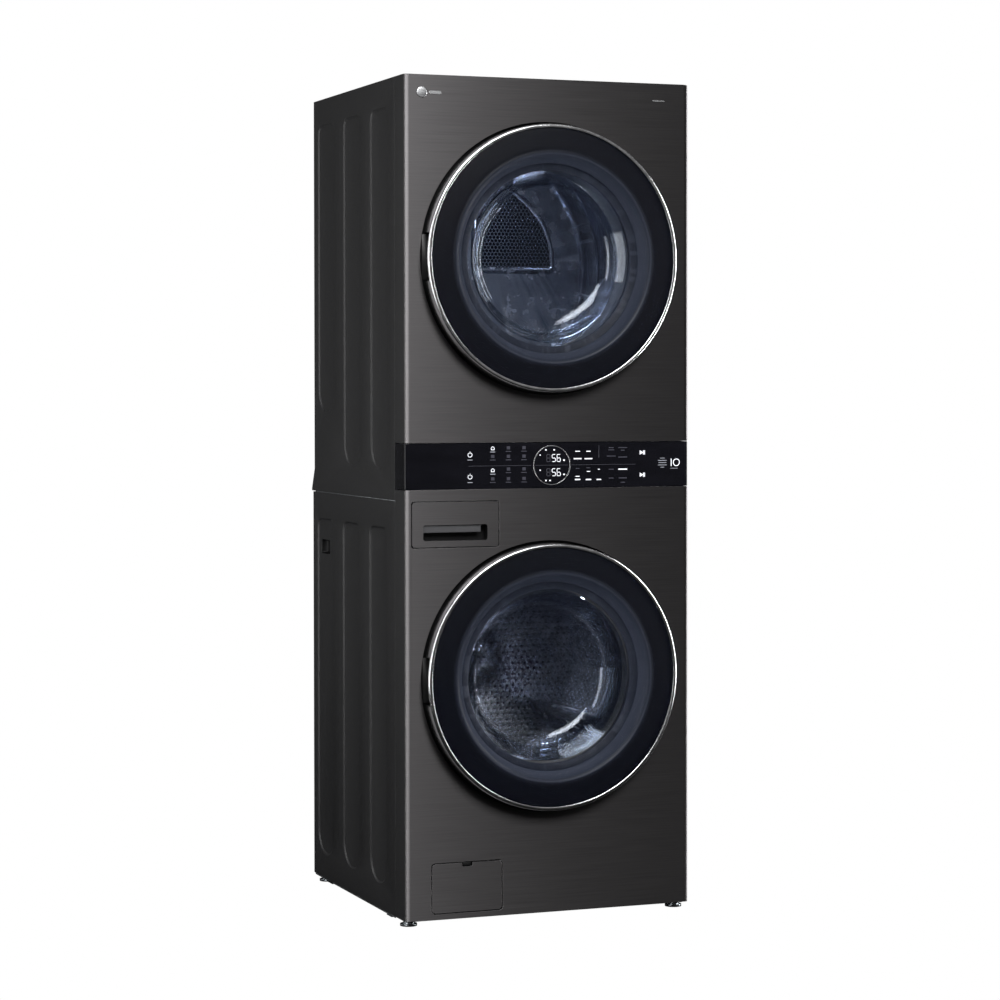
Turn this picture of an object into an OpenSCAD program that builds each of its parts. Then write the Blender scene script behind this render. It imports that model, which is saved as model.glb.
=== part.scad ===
// Laundry tower: a front-loading washer with a dryer built on top of it.
// Frame: +Z up, floor at z = 0, front towards -Y, X centred on the width.
// Depths inside the machine are written as d, measured back from the front face.

/* [Cabinet] */
// Width over the cabinets
width = 686; // [650:1:830]
// Gap between floor and cabinet
foot_height = 15; // [12:1:24]
// Height of the washer's front panel
washer_front_h = 956; // [940:1:1200]
// Height of the control band
band_h = 102; // [85:1:130]
// Height of the dryer's front panel
dryer_front_h = 814; // [790:1:1000]
// Depth of the washer cabinet
washer_depth = 685; // [680:1:860]
// Depth of the dryer cabinet
dryer_depth = 674; // [665:1:860]
// Reach of the exhaust stub behind the washer cabinet
rear_reach = 36; // [30:1:60]
// Sheet steel thickness
sheet = 0.9; // [0.8:0.1:1.6]
// Radius of the fronts' vertical edges
edge_r = 12; // [8:1:16]
// Depth that the fronts wrap round the sides
wrap_d = 68; // [60:1:80]
// Gap between neighbouring fronts
front_gap = 1; // [0.6:0.1:2]

/* [Side ribs] */
// Width of one pressed rib
rib_w = 129; // [110:1:150]
// Depth of the pressing
rib_press = 3; // [2:0.5:4]
// Distance between rib centres
rib_pitch = 200; // [190:1:205]

/* [Doors] */
// Radius of a door
door_r = 300; // [250:1:310]
// How far the door rim stands in front of the panel
rim_out = 36; // [34:1:44]
// Rise of the glass dome in front of the rim
dome_rise = 14; // [6:1:20]
// Width of the bright rim seen from the front
rim_face = 9; // [6:1:14]
// Width of a door's border outside its opening
door_border = 95; // [90:1:115]
// Gap between door and panel all round
door_gap = 6; // [4:0.5:8]
// Depth of the dish behind a door
dish_d = 14; // [12:1:20]
// Height of the washer door's centre above its front panel's foot
washer_door_up = 533; // [500:1:540]
// Height of the dryer door's centre above its front panel's foot
dryer_door_up = 412; // [400:1:460]
// Depth of the washer's glass bowl
washer_bowl_d = 92; // [70:1:96]
// Depth of the dryer's glass bowl
dryer_bowl_d = 52; // [40:1:56]

/* [Detergent drawer] */
// Width of the drawer's front
drawer_w = 204; // [170:1:245]
// Height of the drawer's front
drawer_h = 100; // [84:1:110]
// Distance of the drawer's front from the cabinet's left side
drawer_in = 17; // [15:1:30]
// Distance of the drawer's front below the control band
drawer_down = 28; // [24:1:36]
// Depth of the drawer's tray
tray_d = 222; // [180:1:240]
// Width of the handle slot
slot_w = 152; // [120:1:160]
// Height of the handle slot
slot_h = 35; // [28:1:40]

/* [Filter cover] */
// Width of the pump filter's cover
cover_w = 165; // [140:1:200]
// Height of the pump filter's cover
cover_h = 110; // [92:1:132]
// Distance of the cover from the cabinet's left side
cover_in = 63; // [60:1:80]
// Distance of the cover above the front panel's foot
cover_up = 14; // [12:1:24]

/* [Washer] */
// Radius of the washer's drum
drum_r = 282; // [250:1:284]
// Length of the washer's drum
drum_len = 470; // [400:1:475]
// Gap between drum and tub
tub_gap = 19; // [16:1:22]
// Radius of the drum shaft
shaft_r = 24; // [18:1:26]
// Rise of the hub on the drum's rear wall
hub_rise = 94; // [60:1:110]

/* [Dryer] */
// Radius of the dryer's drum
dryer_drum_r = 312; // [280:1:316]
// Length of the dryer's drum
dryer_drum_len = 450; // [400:1:470]
// Radius of the exhaust duct
duct_r = 50.8; // [45:0.1:52]
// Radius of the hole for the power cable
cable_hole_r = 11.1; // [8:0.1:14]

/* [Hidden] */
$fn = 96;
run_clear = 0.05;   // running clearance of pins and shafts
touch = 0.3;                // gap kept between curved parts that slide on each other

opening_r = door_r - door_border;
door_out = rim_out + dome_rise;
rear_d = max(washer_depth, dryer_depth) + rear_reach;
front_y = (door_out - rear_d) / 2;
half_w = width / 2;
washer_z0 = foot_height;
washer_z1 = washer_z0 + washer_front_h;
band_z0 = washer_z1 + front_gap;
band_z1 = band_z0 + band_h;
dryer_z0 = band_z1 + front_gap;
dryer_z1 = dryer_z0 + dryer_front_h;
top_t = 1.2;                        // black top plate
cab_top = dryer_z1 - top_t;
split_z = washer_z1 - 25;          // seam between the lower and upper side panels
washer_c = washer_z0 + washer_door_up;
dryer_c = dryer_z0 + dryer_door_up;

recess_r = door_r + door_gap;
rim_wall = 3.2;
hinge_x = -(door_r - 20);
hinge_d = -20;
pocket_z = 54;                      // half height of the hinge pocket in a door
catch_x = (opening_r + door_r) / 2;

drawer_x0 = -half_w + drawer_in;
drawer_z1 = band_z0 - drawer_down;
drawer_z0 = drawer_z1 - drawer_h;
face_gap = 1;                       // gap round the drawer and the filter cover
drawer_body_d = 28;
slot_x0 = drawer_x0 + (drawer_w - slot_w) / 2;
slot_z0 = drawer_z0 + 14;
tray_x0 = drawer_x0 + 5;
tray_w = drawer_w - 10;
tray_z0 = drawer_z0 + 5.5;
tray_h = drawer_h - 22;
house_wall = 2;

cover_x0 = -half_w + cover_in;
cover_z0 = washer_z0 + cover_up;
cover_t = 1.6;
cap_x = cover_x0 + cover_w / 2;
cap_z = cover_z0 + cover_h / 2;
cap_r = 28;
recess_depth = 40;

tub_in_r = drum_r + tub_gap;
tub_out_r = tub_in_r + 4;
tub_d0 = 78;
drum_d0 = 90;
drum_d1 = drum_d0 + drum_len;
tub_d1 = drum_d1 + 32;
tub_mid = (tub_d0 + tub_d1) / 2;
neck_r = opening_r + 10;
stator_d = tub_d1 + 6;
rotor_d = stator_d + 36;
ear_x = 235;
damper_x = 170;
damper_ds = [tub_mid - 70, tub_mid + 160];
spring_top = split_z - 4;
ear_top = washer_c + sqrt(pow(tub_out_r, 2) - pow(ear_x, 2)) + 14;
damper_top = washer_c - sqrt(pow(tub_out_r, 2) - pow(damper_x, 2)) - 14;

bulk_d = 92;
dryer_d0 = 100;
dryer_d1 = dryer_d0 + dryer_drum_len;
bulk_z0 = dryer_c - dryer_drum_r - 12;
bulk_z1 = dryer_z1 - 6;
belt_d = dryer_d0 + 0.55 * dryer_drum_len;
belt_t = 3;
belt_w = 9;
pulley_r = 12;
motor_x = 110;
motor_z = dryer_c - dryer_drum_r - 108;
lint_w = 240;
lint_h = 236;
lint_d = 72;
lint_t = 14;
duct_x = -70;
duct_z = motor_z - 5;
blower_r = 82;

// ---------- helpers ----------

// A box from its lowest to its highest corner, with y given as depth behind the front face.
module block(x, d, z) {
    translate([x[0], front_y + d[0], z[0]])
        cube([x[1] - x[0], d[1] - d[0], z[1] - z[0]]);
}

// Revolves [radius, depth] outlines round a front-to-back axis.
module turn(x, z, fn = 144) {
    translate([x, front_y, z]) rotate([-90, 0, 0]) rotate_extrude($fn = fn) children();
}

// One rectangle of a revolved outline.
module ring(r, d) {
    translate([r[0], d[0]]) square([r[1] - r[0], d[1] - d[0]]);
}

// A round bar along the depth.
module bar(x, z, r, d, fn = 64) {
    translate([x, front_y + d[0], z]) rotate([-90, 0, 0]) cylinder(r = r, h = d[1] - d[0], $fn = fn);
}

// A round bar along the height.
module post(x, d, r, z, fn = 48) {
    translate([x, front_y + d, z[0]]) cylinder(r = r, h = z[1] - z[0], $fn = fn);
}

// A rectangle with round corners, built from true circles.
module round_rect(x, z, r) {
    translate([x[0] + r, z[0]]) square([x[1] - x[0] - 2 * r, z[1] - z[0]]);
    translate([x[0], z[0] + r]) square([x[1] - x[0], z[1] - z[0] - 2 * r]);
    for (cx = [x[0] + r, x[1] - r], cz = [z[0] + r, z[1] - r])
        translate([cx, cz]) circle(r = r, $fn = 48);
}

// A plate with round corners that faces the front.
module face_plate(x, d, z, r) {
    translate([0, front_y + d[1], 0]) rotate([90, 0, 0])
        linear_extrude(d[1] - d[0]) round_rect(x, z, r);
}

// The U shape that a front makes seen from above: face, round edges and side returns.
module wrap_outline(t) {
    translate([-half_w + edge_r, front_y]) square([width - 2 * edge_r, t]);
    for (side = [-1, 1]) {
        translate([side > 0 ? half_w - t : -half_w, front_y + edge_r]) square([t, wrap_d - edge_r]);
        intersection() {
            translate([side * (half_w - edge_r), front_y + edge_r]) difference() {
                circle(r = edge_r);
                circle(r = edge_r - t);
            }
            translate([side > 0 ? half_w - edge_r : -half_w, front_y]) square(edge_r);
        }
    }
}

module wrapped_front(z, t) {
    translate([0, 0, z[0]]) linear_extrude(z[1] - z[0]) wrap_outline(t);
}

// ---------- cabinet ----------

module base_frame() color("silver") {
    inner = half_w - sheet;
    difference() {
        union() {
            block([-inner, inner], [edge_r + 2, washer_depth - 2 * sheet - 1], [washer_z0 - 1, washer_z0 + 2]);
            block([-half_w + edge_r + 2, half_w - edge_r - 2], [sheet + 1, edge_r + 3],
                  [washer_z0 - 1, washer_z0 + 2]);
            for (side = [-1, 1])
                block([side > 0 ? inner - 2 : -inner, side > 0 ? inner : -inner + 2],
                      [wrap_d + 6, washer_depth - 8], [washer_z0 - 4, washer_z0 - 1]);
            for (side = [-1, 1], d = [112, washer_depth - 130])
                block([side > 0 ? inner - 22 : -inner + 4, side > 0 ? inner - 4 : -inner + 22],
                      [d, d + 34], [washer_z0 - 9, washer_z0 - 1]);
            for (side = [-1, 1], d = [foot_ds[0], foot_ds[1]])
                post(side * foot_x, d, 14, [washer_z0 + 2, washer_z0 + 12]);
        }
        for (side = [-1, 1], d = [foot_ds[0], foot_ds[1]])
            post(side * foot_x, d, foot_stem_r + 0.2, [washer_z0 - 2, washer_z0 + 13]);
        block([-135, 135], [170, washer_depth - 120], [washer_z0 - 2, washer_z0 + 3]);
    }
}

foot_x = half_w - 20;
foot_ds = [38, washer_depth - 44];
foot_stem_r = 6;

module foot(side, d) color("dimgray") {
    post(side * foot_x, d, 19, [0, 5]);
    post(side * foot_x, d, 13, [5, 8]);
    post(side * foot_x, d, 9.5, [8, washer_z0 - 1.2], 6);
    post(side * foot_x, d, foot_stem_r, [washer_z0 - 1.3, washer_z0 + 40]);
}
module foot_front_left() foot(-1, foot_ds[0]);
module foot_front_right() foot(1, foot_ds[0]);
module foot_rear_left() foot(-1, foot_ds[1]);
module foot_rear_right() foot(1, foot_ds[1]);

// Outline of one pressed rib in (depth, height): small round corners on top, a half circle below.
module rib_outline(c, z, grow) {
    r = rib_w / 2 + grow;
    top_r = 26 + grow;
    translate([c, z[0] + rib_w / 2]) circle(r = r);
    translate([c - r, z[0] + rib_w / 2]) square([2 * r, z[1] - z[0] - rib_w / 2 - 26]);
    translate([c - r + top_r, z[1] - 27]) square([2 * (r - top_r), 27 + grow]);
    for (s = [-1, 1])
        translate([c + s * (r - top_r), z[1] - 26]) circle(r = top_r);
}

module rib_solid(side, c, z, grow, from, to) {
    translate([side * (half_w - to), front_y, 0]) rotate([90, 0, 90]) mirror([0, 0, side > 0 ? 0 : 1])
        linear_extrude(to - from) rib_outline(c, z, grow);
}

// Side sheet with three ribs pressed inwards and its front and rear flanges turned in.
module side_sheet(side, z, flange_z, depth, ribs) {
    x0 = side > 0 ? half_w - sheet : -half_w;
    difference() {
        union() {
            block([x0, x0 + sheet], [wrap_d + 0.6, depth], z);
            for (rib = ribs) rib_solid(side, rib[0], [rib[1], rib[2]], sheet, sheet - 0.01, rib_press + sheet);
            block([side > 0 ? half_w - 16 : -half_w, side > 0 ? half_w : -half_w + 16],
                  [depth - 3 * sheet, depth - 2 * sheet], flange_z);
            block([side > 0 ? half_w - 12 : -half_w, side > 0 ? half_w : -half_w + 12],
                  [wrap_d + 0.6, wrap_d + 0.6 + sheet], flange_z);
        }
        for (rib = ribs) rib_solid(side, rib[0], [rib[1], rib[2]], 0, -1, rib_press);
    }
}

washer_ribs = [
    for (i = [0:2]) [187 + i * rib_pitch, washer_z0 + 56, split_z - 62]
];
dryer_ribs = [
    for (i = [0:2]) [176 + i * rib_pitch, i == 2 ? split_z + 191 : split_z + 66, dryer_z1 - 60]
];
grip_z = washer_ribs[2][2] - 86;    // hand hold in the rearmost lower rib

module washer_side(side) color("dimgray") difference() {
    side_sheet(side, [washer_z0, split_z - 1], [washer_z0 + 2, split_z - 2], washer_depth, washer_ribs);
    block([side * half_w - 12, side * half_w + 12], [washer_ribs[2][0] - 26, washer_ribs[2][0] + 38],
          [grip_z, grip_z + 34]);
}
module washer_side_left() washer_side(-1);
module washer_side_right() washer_side(1);

flare = 22;                         // the dryer side's foot reaches back over the washer's edge
module dryer_side(side) color("dimgray") {
    side_sheet(side, [split_z + 1, cab_top], [split_z + 1, cab_top - 3], dryer_depth, dryer_ribs);
    x0 = side > 0 ? half_w - sheet : -half_w;
    translate([x0, front_y + dryer_depth, split_z + 1]) rotate([90, 0, 90]) linear_extrude(sheet)
        polygon([[-1, 0], [flare, 0], [flare, 6], [0, 54], [-1, 54]]);
}
module dryer_side_left() dryer_side(-1);
module dryer_side_right() dryer_side(1);

inlet_xs = [-250, -170];
inlet_z = split_z - 70;
drain_x = 230;
drain_z = split_z - 60;
// Flat rear sheet with one raised field.
module rear_sheet(depth, z, field_x, field_z, raise, r) {
    skin = [depth - 2 * sheet, depth - sheet];
    difference() {
        union() {
            block([-half_w + sheet + 0.5, half_w - sheet - 0.5], skin, z);
            face_plate(field_x, [skin[0], skin[1] + raise], field_z, r);
        }
        face_plate([field_x[0] + sheet, field_x[1] - sheet], [skin[0] - 1, skin[0] + raise],
                   [field_z[0] + sheet, field_z[1] - sheet], r - sheet);
    }
}

module washer_back_panel() color("dimgray") difference() {
    rear_sheet(washer_depth, [washer_z0 + 2, split_z - 2], [-210, 210], [washer_c - 230, washer_c + 200], 5, 60);
    for (x = inlet_xs) bar(x, inlet_z, 16, [washer_depth - 10, washer_depth + 10]);
    bar(drain_x, drain_z, 17, [washer_depth - 10, washer_depth + 10]);
}

module dryer_back_panel() color("dimgray") difference() {
    rear_sheet(dryer_depth, [split_z + 2, cab_top - 1], [-250, 120], [dryer_c - 60, dryer_c + 300], 8, 30);
    bar(duct_x, duct_z, duct_r + 0.5, [dryer_depth - 10, dryer_depth + 10]);
    for (i = [0:9])
        block([150, 290], [dryer_depth - 10, dryer_depth + 10], [dryer_c - 60 + 24 * i, dryer_c - 52 + 24 * i]);
    block([power_x - 32, power_x + 32], [dryer_depth - 10, dryer_depth + 10], [power_z - 22, power_z + 22]);
}
power_x = 220;
power_z = split_z + 84;

module top_panel() color("#1c1c1e") {
    translate([0, 0, cab_top]) linear_extrude(top_t) union() {
        translate([-half_w + edge_r, front_y]) square([width - 2 * edge_r, edge_r]);
        translate([-half_w, front_y + edge_r]) square([width, dryer_depth - edge_r]);
        intersection() {
            translate([-half_w, front_y]) square([width, edge_r]);
            for (s = [-1, 1]) translate([s * (half_w - edge_r), front_y + edge_r]) circle(r = edge_r);
        }
    }
    difference() {
        block([-half_w + 6, half_w - 6], [14, dryer_depth - 8], [cab_top - 3, cab_top + 0.5]);
        block([-half_w + 8, half_w - 8], [16, dryer_depth - 10], [cab_top - 4, cab_top]);
    }
}

// Steel tray between the two cabinets; the springs of the tub hang from it.
module mid_frame() color("silver") difference() {
    union() {
        block([-half_w + sheet, half_w - sheet], [wrap_d + 2, dryer_depth - 4 * sheet], [split_z - 2, split_z + 1]);
        block([-half_w + 30, half_w - 30], [56, wrap_d + 3], [split_z - 2, split_z + 1]);
        block([-half_w + 30, half_w - 30], [56, 58], [split_z + 1, band_z0 + 30]);
        block([-half_w + 18, half_w - 18], [dryer_depth - 14, dryer_depth - 11], [split_z + 1, split_z + 22]);
        for (s = [-1, 1])
            block([s * ear_x - 14, s * ear_x + 14], [tub_mid - 4, tub_mid + 20], [spring_top, split_z - 2]);
    }
    block([-200, 30], [130, dryer_depth - 120], [split_z - 20, split_z + 3]);
}

// ---------- fronts ----------

module washer_front_panel() color("#3f3e40") difference() {
    union() {
        wrapped_front([washer_z0, washer_z1], sheet);
        block([-half_w + 20, half_w - 20], [sheet, 14], [washer_z1 - sheet, washer_z1]);
        block([-half_w + 50, half_w - 50], [sheet, 14], [washer_z0 + 3, washer_z0 + 3 + sheet]);
    }
    bar(0, washer_c, recess_r, [-5, 13], 144);
    face_plate([drawer_x0 - face_gap, drawer_x0 + drawer_w + face_gap], [-5, 20],
               [drawer_z0 - face_gap, drawer_z1 + face_gap], 7);
    face_plate([cover_x0 - face_gap, cover_x0 + cover_w + face_gap], [-5, 12],
               [cover_z0 - face_gap, cover_z0 + cover_h + face_gap], 9);
    // Square lower corners, so that the flap's full width can sink as it swings down.
    block([cover_x0 - face_gap, cover_x0 + cover_w + face_gap], [-5, 12],
          [cover_z0 - face_gap, cover_z0 + 12]);
}

module dryer_front_panel() color("#3f3e40") difference() {
    union() {
        wrapped_front([dryer_z0, cab_top], sheet);
        block([-half_w + 20, half_w - 20], [sheet, 14], [dryer_z0, dryer_z0 + sheet]);
    }
    bar(0, dryer_c, recess_r, [-5, 20], 144);
}

// Dark dish that a door closes into, with the lip of the door opening.
module door_surround(c) color("#101012") difference() {
    turn(0, c) {
        ring([recess_r, recess_r + 14], [sheet, 2 * sheet]);
        ring([recess_r, recess_r + 1.5], [sheet, dish_d + 1.5]);
        ring([opening_r - 1.5, recess_r + 1.5], [dish_d, dish_d + 1.5]);
        ring([opening_r - 1.5, opening_r], [dish_d, dish_d + 10]);
    }
    block([catch_x - 7, catch_x + 13], [dish_d - 1, dish_d + 3], [c - 11, c + 11]);
}
module washer_door_surround() difference() {
    door_surround(washer_c);
    face_plate([drawer_x0 - 4, drawer_x0 + drawer_w + 4], [sheet - 1, 40], [drawer_z0 - 5, drawer_z1 + 4], 4);
}
module dryer_door_surround() door_surround(dryer_c);

module control_fascia() color("#0b0b10")
    wrapped_front([band_z0, band_z1], 2.5);

module control_housing() color("#202022") difference() {
    block([-half_w + 30, half_w - 30], [2.5, 56], [band_z0 + 4, band_z1 - 4]);
    block([-half_w + 32, half_w - 32], [2, 54], [band_z0 + 6, band_z1 - 6]);
}

module control_board() color("darkgreen") {
    block([-half_w + 40, half_w - 40], [22, 23.6], [band_z0 + 10, band_z1 - 10]);
    block([-60, 60], [8, 22], [band_z0 + 14, band_z1 - 14]);
    for (x = [-220, -130, 120, 200]) block([x, x + 34], [23.6, 36], [band_z0 + 24, band_z0 + 52]);
    for (x = [-280, 0, 280], z = [band_z0 + 16, band_z1 - 16]) bar(x, z, 3, [23.6, 54], 32);
}

// ---------- detergent drawer ----------

drawer_x1 = drawer_x0 + drawer_w;

module drawer_front() color("#4a494b") difference() {
    union() {
        face_plate([drawer_x0, drawer_x1], [0, 3], [drawer_z0, drawer_z1], 6);
        face_plate([drawer_x0 + 2, drawer_x1 - 2], [3, drawer_body_d], [drawer_z0 + 2, drawer_z1 - 2], 5);
    }
    block([drawer_x0 + 4, slot_x0 - 2.5], [3, drawer_body_d - 2], [drawer_z0 + 4, drawer_z1 - 4]);
    block([slot_x0 + slot_w + 2.5, drawer_x1 - 4], [3, drawer_body_d - 2], [drawer_z0 + 4, drawer_z1 - 4]);
    face_plate([slot_x0, slot_x0 + slot_w], [-1, drawer_body_d - 4], [slot_z0, slot_z0 + slot_h], 5);
    block([slot_x0, slot_x0 + slot_w], [7, drawer_body_d - 4], [slot_z0 + 8, slot_z0 + slot_h + 22]);
}

module drawer_tray() color("whitesmoke") difference() {
    block([tray_x0, tray_x0 + tray_w], [drawer_body_d, drawer_body_d + tray_d], [tray_z0, tray_z0 + tray_h]);
    cell_w = (tray_w - 4 * house_wall) / 3;
    for (i = [0:2])
        block([tray_x0 + house_wall + i * (cell_w + house_wall), tray_x0 + (i + 1) * (cell_w + house_wall)],
              [drawer_body_d + 3, drawer_body_d + tray_d - 3],
              [tray_z0 + (i == 1 ? 8 : 3), tray_z0 + tray_h + 1]);
}

module drawer_housing() color("lightgray") {
    x = [drawer_x0 + 1, drawer_x1 - 1];
    z = [drawer_z0 + 3, split_z - 2];
    d = [drawer_body_d + 2, drawer_body_d + tray_d + 14];
    difference() {
        block(x, d, z);
        block([x[0] + house_wall, x[1] - house_wall], [d[0] - 1, d[1] - house_wall],
              [z[0] + house_wall, z[1] - house_wall]);
    }
}

// ---------- pump filter ----------

// Flap on two small pivots; the pump's recess carries the pins.
pivot_in = 3.2;                     // pivot above the flap's lower edge
pivot_d = 2.4;                      // pivot behind the flap's face
module filter_cover() color("#3f3e40") difference() {
    union() {
        face_plate([cover_x0, cover_x0 + cover_w], [0, cover_t], [cover_z0, cover_z0 + cover_h], 8);
        face_plate([cover_x0 + 10, cover_x0 + cover_w - 10], [cover_t, cover_t + 1.4],
                   [cover_z0 + 9, cover_z0 + cover_h - 9], 6);
        translate([cover_x0 + 6, front_y + pivot_d, cover_z0 + pivot_in]) rotate([0, 90, 0])
            cylinder(r = 2.2, h = cover_w - 12, $fn = 32);
    }
    face_plate([cover_x0 + 12, cover_x0 + cover_w - 12], [cover_t, cover_t + 2],
               [cover_z0 + 11, cover_z0 + cover_h - 11], 5);
    translate([cover_x0 - 1, front_y + pivot_d, cover_z0 + pivot_in]) rotate([0, 90, 0])
        cylinder(r = 1 + run_clear, h = cover_w + 2, $fn = 32);
    block([cap_x - 12, cap_x + 12], [-1, 5], [cover_z0 + cover_h - 9, cover_z0 + cover_h + 1]);
}

// Round cap with a finger ridge; its plug turns in the pump's socket.
module filter_cap() color("slategray") {
    turn(cap_x, cap_z, 72) {
        ring([0, cap_r], [24, 30]);
        ring([0, cap_r - 6], [30, 58]);
    }
    block([cap_x - 4, cap_x + 4], [13, 24.01], [cap_z - cap_r + 5, cap_z + cap_r - 5]);
}

module drain_pump() color("gray") {
    difference() {
        block([cover_x0 - 4, cover_x0 + cover_w + 4], [sheet, recess_depth], [cover_z0 - 4, cover_z0 + cover_h + 4]);
        block([cover_x0 - 2, cover_x0 + cover_w + 2], [sheet - 1, recess_depth - 2],
              [cover_z0 - 2, cover_z0 + cover_h + 2]);
        bar(cap_x, cap_z, cap_r - 5.7, [recess_depth - 5, recess_depth + 1]);
    }
    for (x = [cover_x0 - 3, cover_x0 + cover_w - 14])
        translate([x, front_y + pivot_d, cover_z0 + pivot_in]) rotate([0, 90, 0])
            cylinder(r = 1, h = 17, $fn = 32);
    turn(cap_x, cap_z, 72) {
        ring([cap_r - 5.7, cap_r + 2], [recess_depth - 0.01, 150]);
        ring([0, cap_r + 2], [150, 160]);
        ring([0, 34], [160, 215]);
    }
}

// ---------- doors ----------

// The space that the hinge needs inside a door.
module hinge_pocket(c)
    block([-door_r - 3, hinge_x + 22], [-(rim_out - 4.5), 8], [c - pocket_z, c + pocket_z]);

module door_rim(c) color("silver") difference() {
    turn(0, c, 180)
        polygon([
            [door_r - rim_wall, 0], [door_r, 0], [door_r, -rim_out + 4],
            [door_r - 1.2, -rim_out + 1.2], [door_r - 4, -rim_out], [door_r - rim_face, -rim_out + 0.6],
            [door_r - rim_face, -rim_out + 4.5], [door_r - rim_wall, -rim_out + 4.5]
        ]);
    hinge_pocket(c);
}

module door_frame(c) color("#161618") difference() {
    turn(0, c, 180) {
        ring([opening_r - 8, door_r - rim_wall], [-6, 4]);
        ring([opening_r + 30, opening_r + 34], [dome(opening_r + 34, glass_t) + 0.05, -6]);
        ring([door_r - rim_wall - 4, door_r - rim_wall], [-rim_out + 4.5, -6]);
    }
    hinge_pocket(c);
}

// Shallow dome: the outer face rises dome_rise over the glass radius.
glass_t = 4;
glass_r = door_r - rim_face;
dome_sphere = (pow(glass_r, 2) + pow(dome_rise, 2)) / (2 * dome_rise);
function dome(r, back) = -rim_out - dome_rise + back + dome_sphere - sqrt(pow(dome_sphere, 2) - pow(r, 2));
module door_glass(c) color("#1a1b24", 0.6) turn(0, c, 180)
    polygon(concat(
        [for (i = [0:12]) [glass_r * i / 12, dome(glass_r * i / 12, 0)]],
        [for (i = [12:-1:0]) [glass_r * i / 12, dome(glass_r * i / 12, glass_t)]]
    ));

// Outline of a bowl's outer wall: tapering side, round shoulder, slightly domed floor.
bowl_r = opening_r - 15;
function bowl_wall(depth, in) =
    let (shoulder = 40, side_r = bowl_r - 14 - in, c = [side_r - shoulder, depth - in - shoulder])
    concat([[bowl_r - in, -6]],
           [for (a = [0:15:90]) [c[0] + shoulder * cos(a), c[1] + shoulder * sin(a)]],
           [[0, depth - in + 3]]);
module door_bowl(c, depth) color("#8fa0b4", 0.35) turn(0, c, 144) {
    outer = bowl_wall(depth, 0);
    inner = bowl_wall(depth, 5);
    polygon(concat(outer, [for (i = [len(inner) - 1:-1:0]) inner[i]]));
    ring([bowl_r - 5, opening_r + 8], [-10, -6]);
}

// Hinge leaf and closing hook, both bolted to the door frame.
module door_hardware(c) color("silver") {
    difference() {
        union() {
            post(hinge_x, hinge_d, 6, [c - 28, c + 28]);
            block([hinge_x, hinge_x + 16], [hinge_d - 3, hinge_d + 3], [c - 26, c + 26]);
            block([hinge_x + 12, hinge_x + 16], [hinge_d - 3, -6], [c - 26, c + 26]);
            block([hinge_x + 12, hinge_x + 38], [-8.5, -6], [c - 26, c + 26]);
        }
        post(hinge_x, hinge_d, 3 + run_clear, [c - 30, c + 30]);
    }
    block([catch_x - 10, catch_x + 10], [4, 6.5], [c - 12, c + 12]);
    block([catch_x - 3, catch_x + 3], [6.5, dish_d + 18], [c - 8, c + 8]);
    block([catch_x - 5, catch_x + 3], [dish_d + 13, dish_d + 18], [c - 8, c + 8]);
}

module hinge_bracket(c) {
    block([hinge_x - 18, -opening_r - 9], [dish_d - 2.5, dish_d], [c - 50, c + 50]);
    for (z = [c + 30, c - 44]) {
        block([hinge_x - 3.5, hinge_x + 3.5], [hinge_d, dish_d - 2.4], [z, z + 14]);
        post(hinge_x, hinge_d, 6, [z, z + 14]);
    }
    post(hinge_x, hinge_d, 3, [c - 48, c + 48]);
}
module door_hinge_brackets() color("silver") {
    hinge_bracket(washer_c);
    hinge_bracket(dryer_c);
}

module door_lock(c) difference() {
    block([catch_x - 17, catch_x + 23], [dish_d + 1.5, dish_d + 26], [c - 38, c + 38]);
    block([catch_x - 7, catch_x + 13], [dish_d, dish_d + 24], [c - 11, c + 11]);
}
module door_locks() color("#202022") {
    door_lock(washer_c);
    door_lock(dryer_c);
}

module washer_door_rim() door_rim(washer_c);
module washer_door_frame() door_frame(washer_c);
module washer_door_glass() door_glass(washer_c);
module washer_door_bowl() door_bowl(washer_c, washer_bowl_d);
module washer_door_hardware() door_hardware(washer_c);
module dryer_door_rim() door_rim(dryer_c);
module dryer_door_frame() door_frame(dryer_c);
module dryer_door_glass() door_glass(dryer_c);
module dryer_door_bowl() door_bowl(dryer_c, dryer_bowl_d);
module dryer_door_hardware() door_hardware(dryer_c);

// ---------- washer inside ----------

module tub_front() color("lightgray") turn(0, washer_c) {
    ring([neck_r, neck_r + 4], [60, tub_d0 + 4]);
    ring([neck_r, tub_out_r], [tub_d0, tub_d0 + 4]);
    ring([tub_in_r, tub_out_r], [tub_d0, tub_mid]);
    ring([tub_in_r, tub_out_r + 8], [tub_mid - 6, tub_mid]);
}

module tub_rear() color("lightgray") {
    turn(0, washer_c) {
        ring([tub_in_r, tub_out_r + 8], [tub_mid, tub_mid + 6]);
        ring([tub_in_r, tub_out_r], [tub_mid, tub_d1]);
        ring([shaft_r + run_clear, tub_out_r], [tub_d1 - 5, tub_d1]);
        ring([shaft_r + run_clear, 46], [tub_d1 - 5, stator_d + 32]);
    }
    difference() {
        union() {
            for (s = [-1, 1])
                block([s * ear_x - 10, s * ear_x + 10], [tub_mid + 6, tub_mid + 22], [ear_top - 60, ear_top]);
            for (s = [-1, 1], d = damper_ds)
                block([s * damper_x - 14, s * damper_x + 14], [max(d, tub_mid + 20) - 12, max(d, tub_mid + 20) + 12],
                      [damper_top, damper_top + 40]);
        }
        bar(0, washer_c, tub_out_r - 1, [tub_d0, tub_d1]);
    }
}

// Cast weights clamped above and below the door opening.
module counterweights() color("darkgray") difference() {
    turn(0, washer_c) ring([neck_r + 17, tub_out_r - 4], [34, tub_d0]);
    block([-400, 400], [30, tub_d0 + 2], [washer_c - 165, washer_c + 165]);
}

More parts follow.
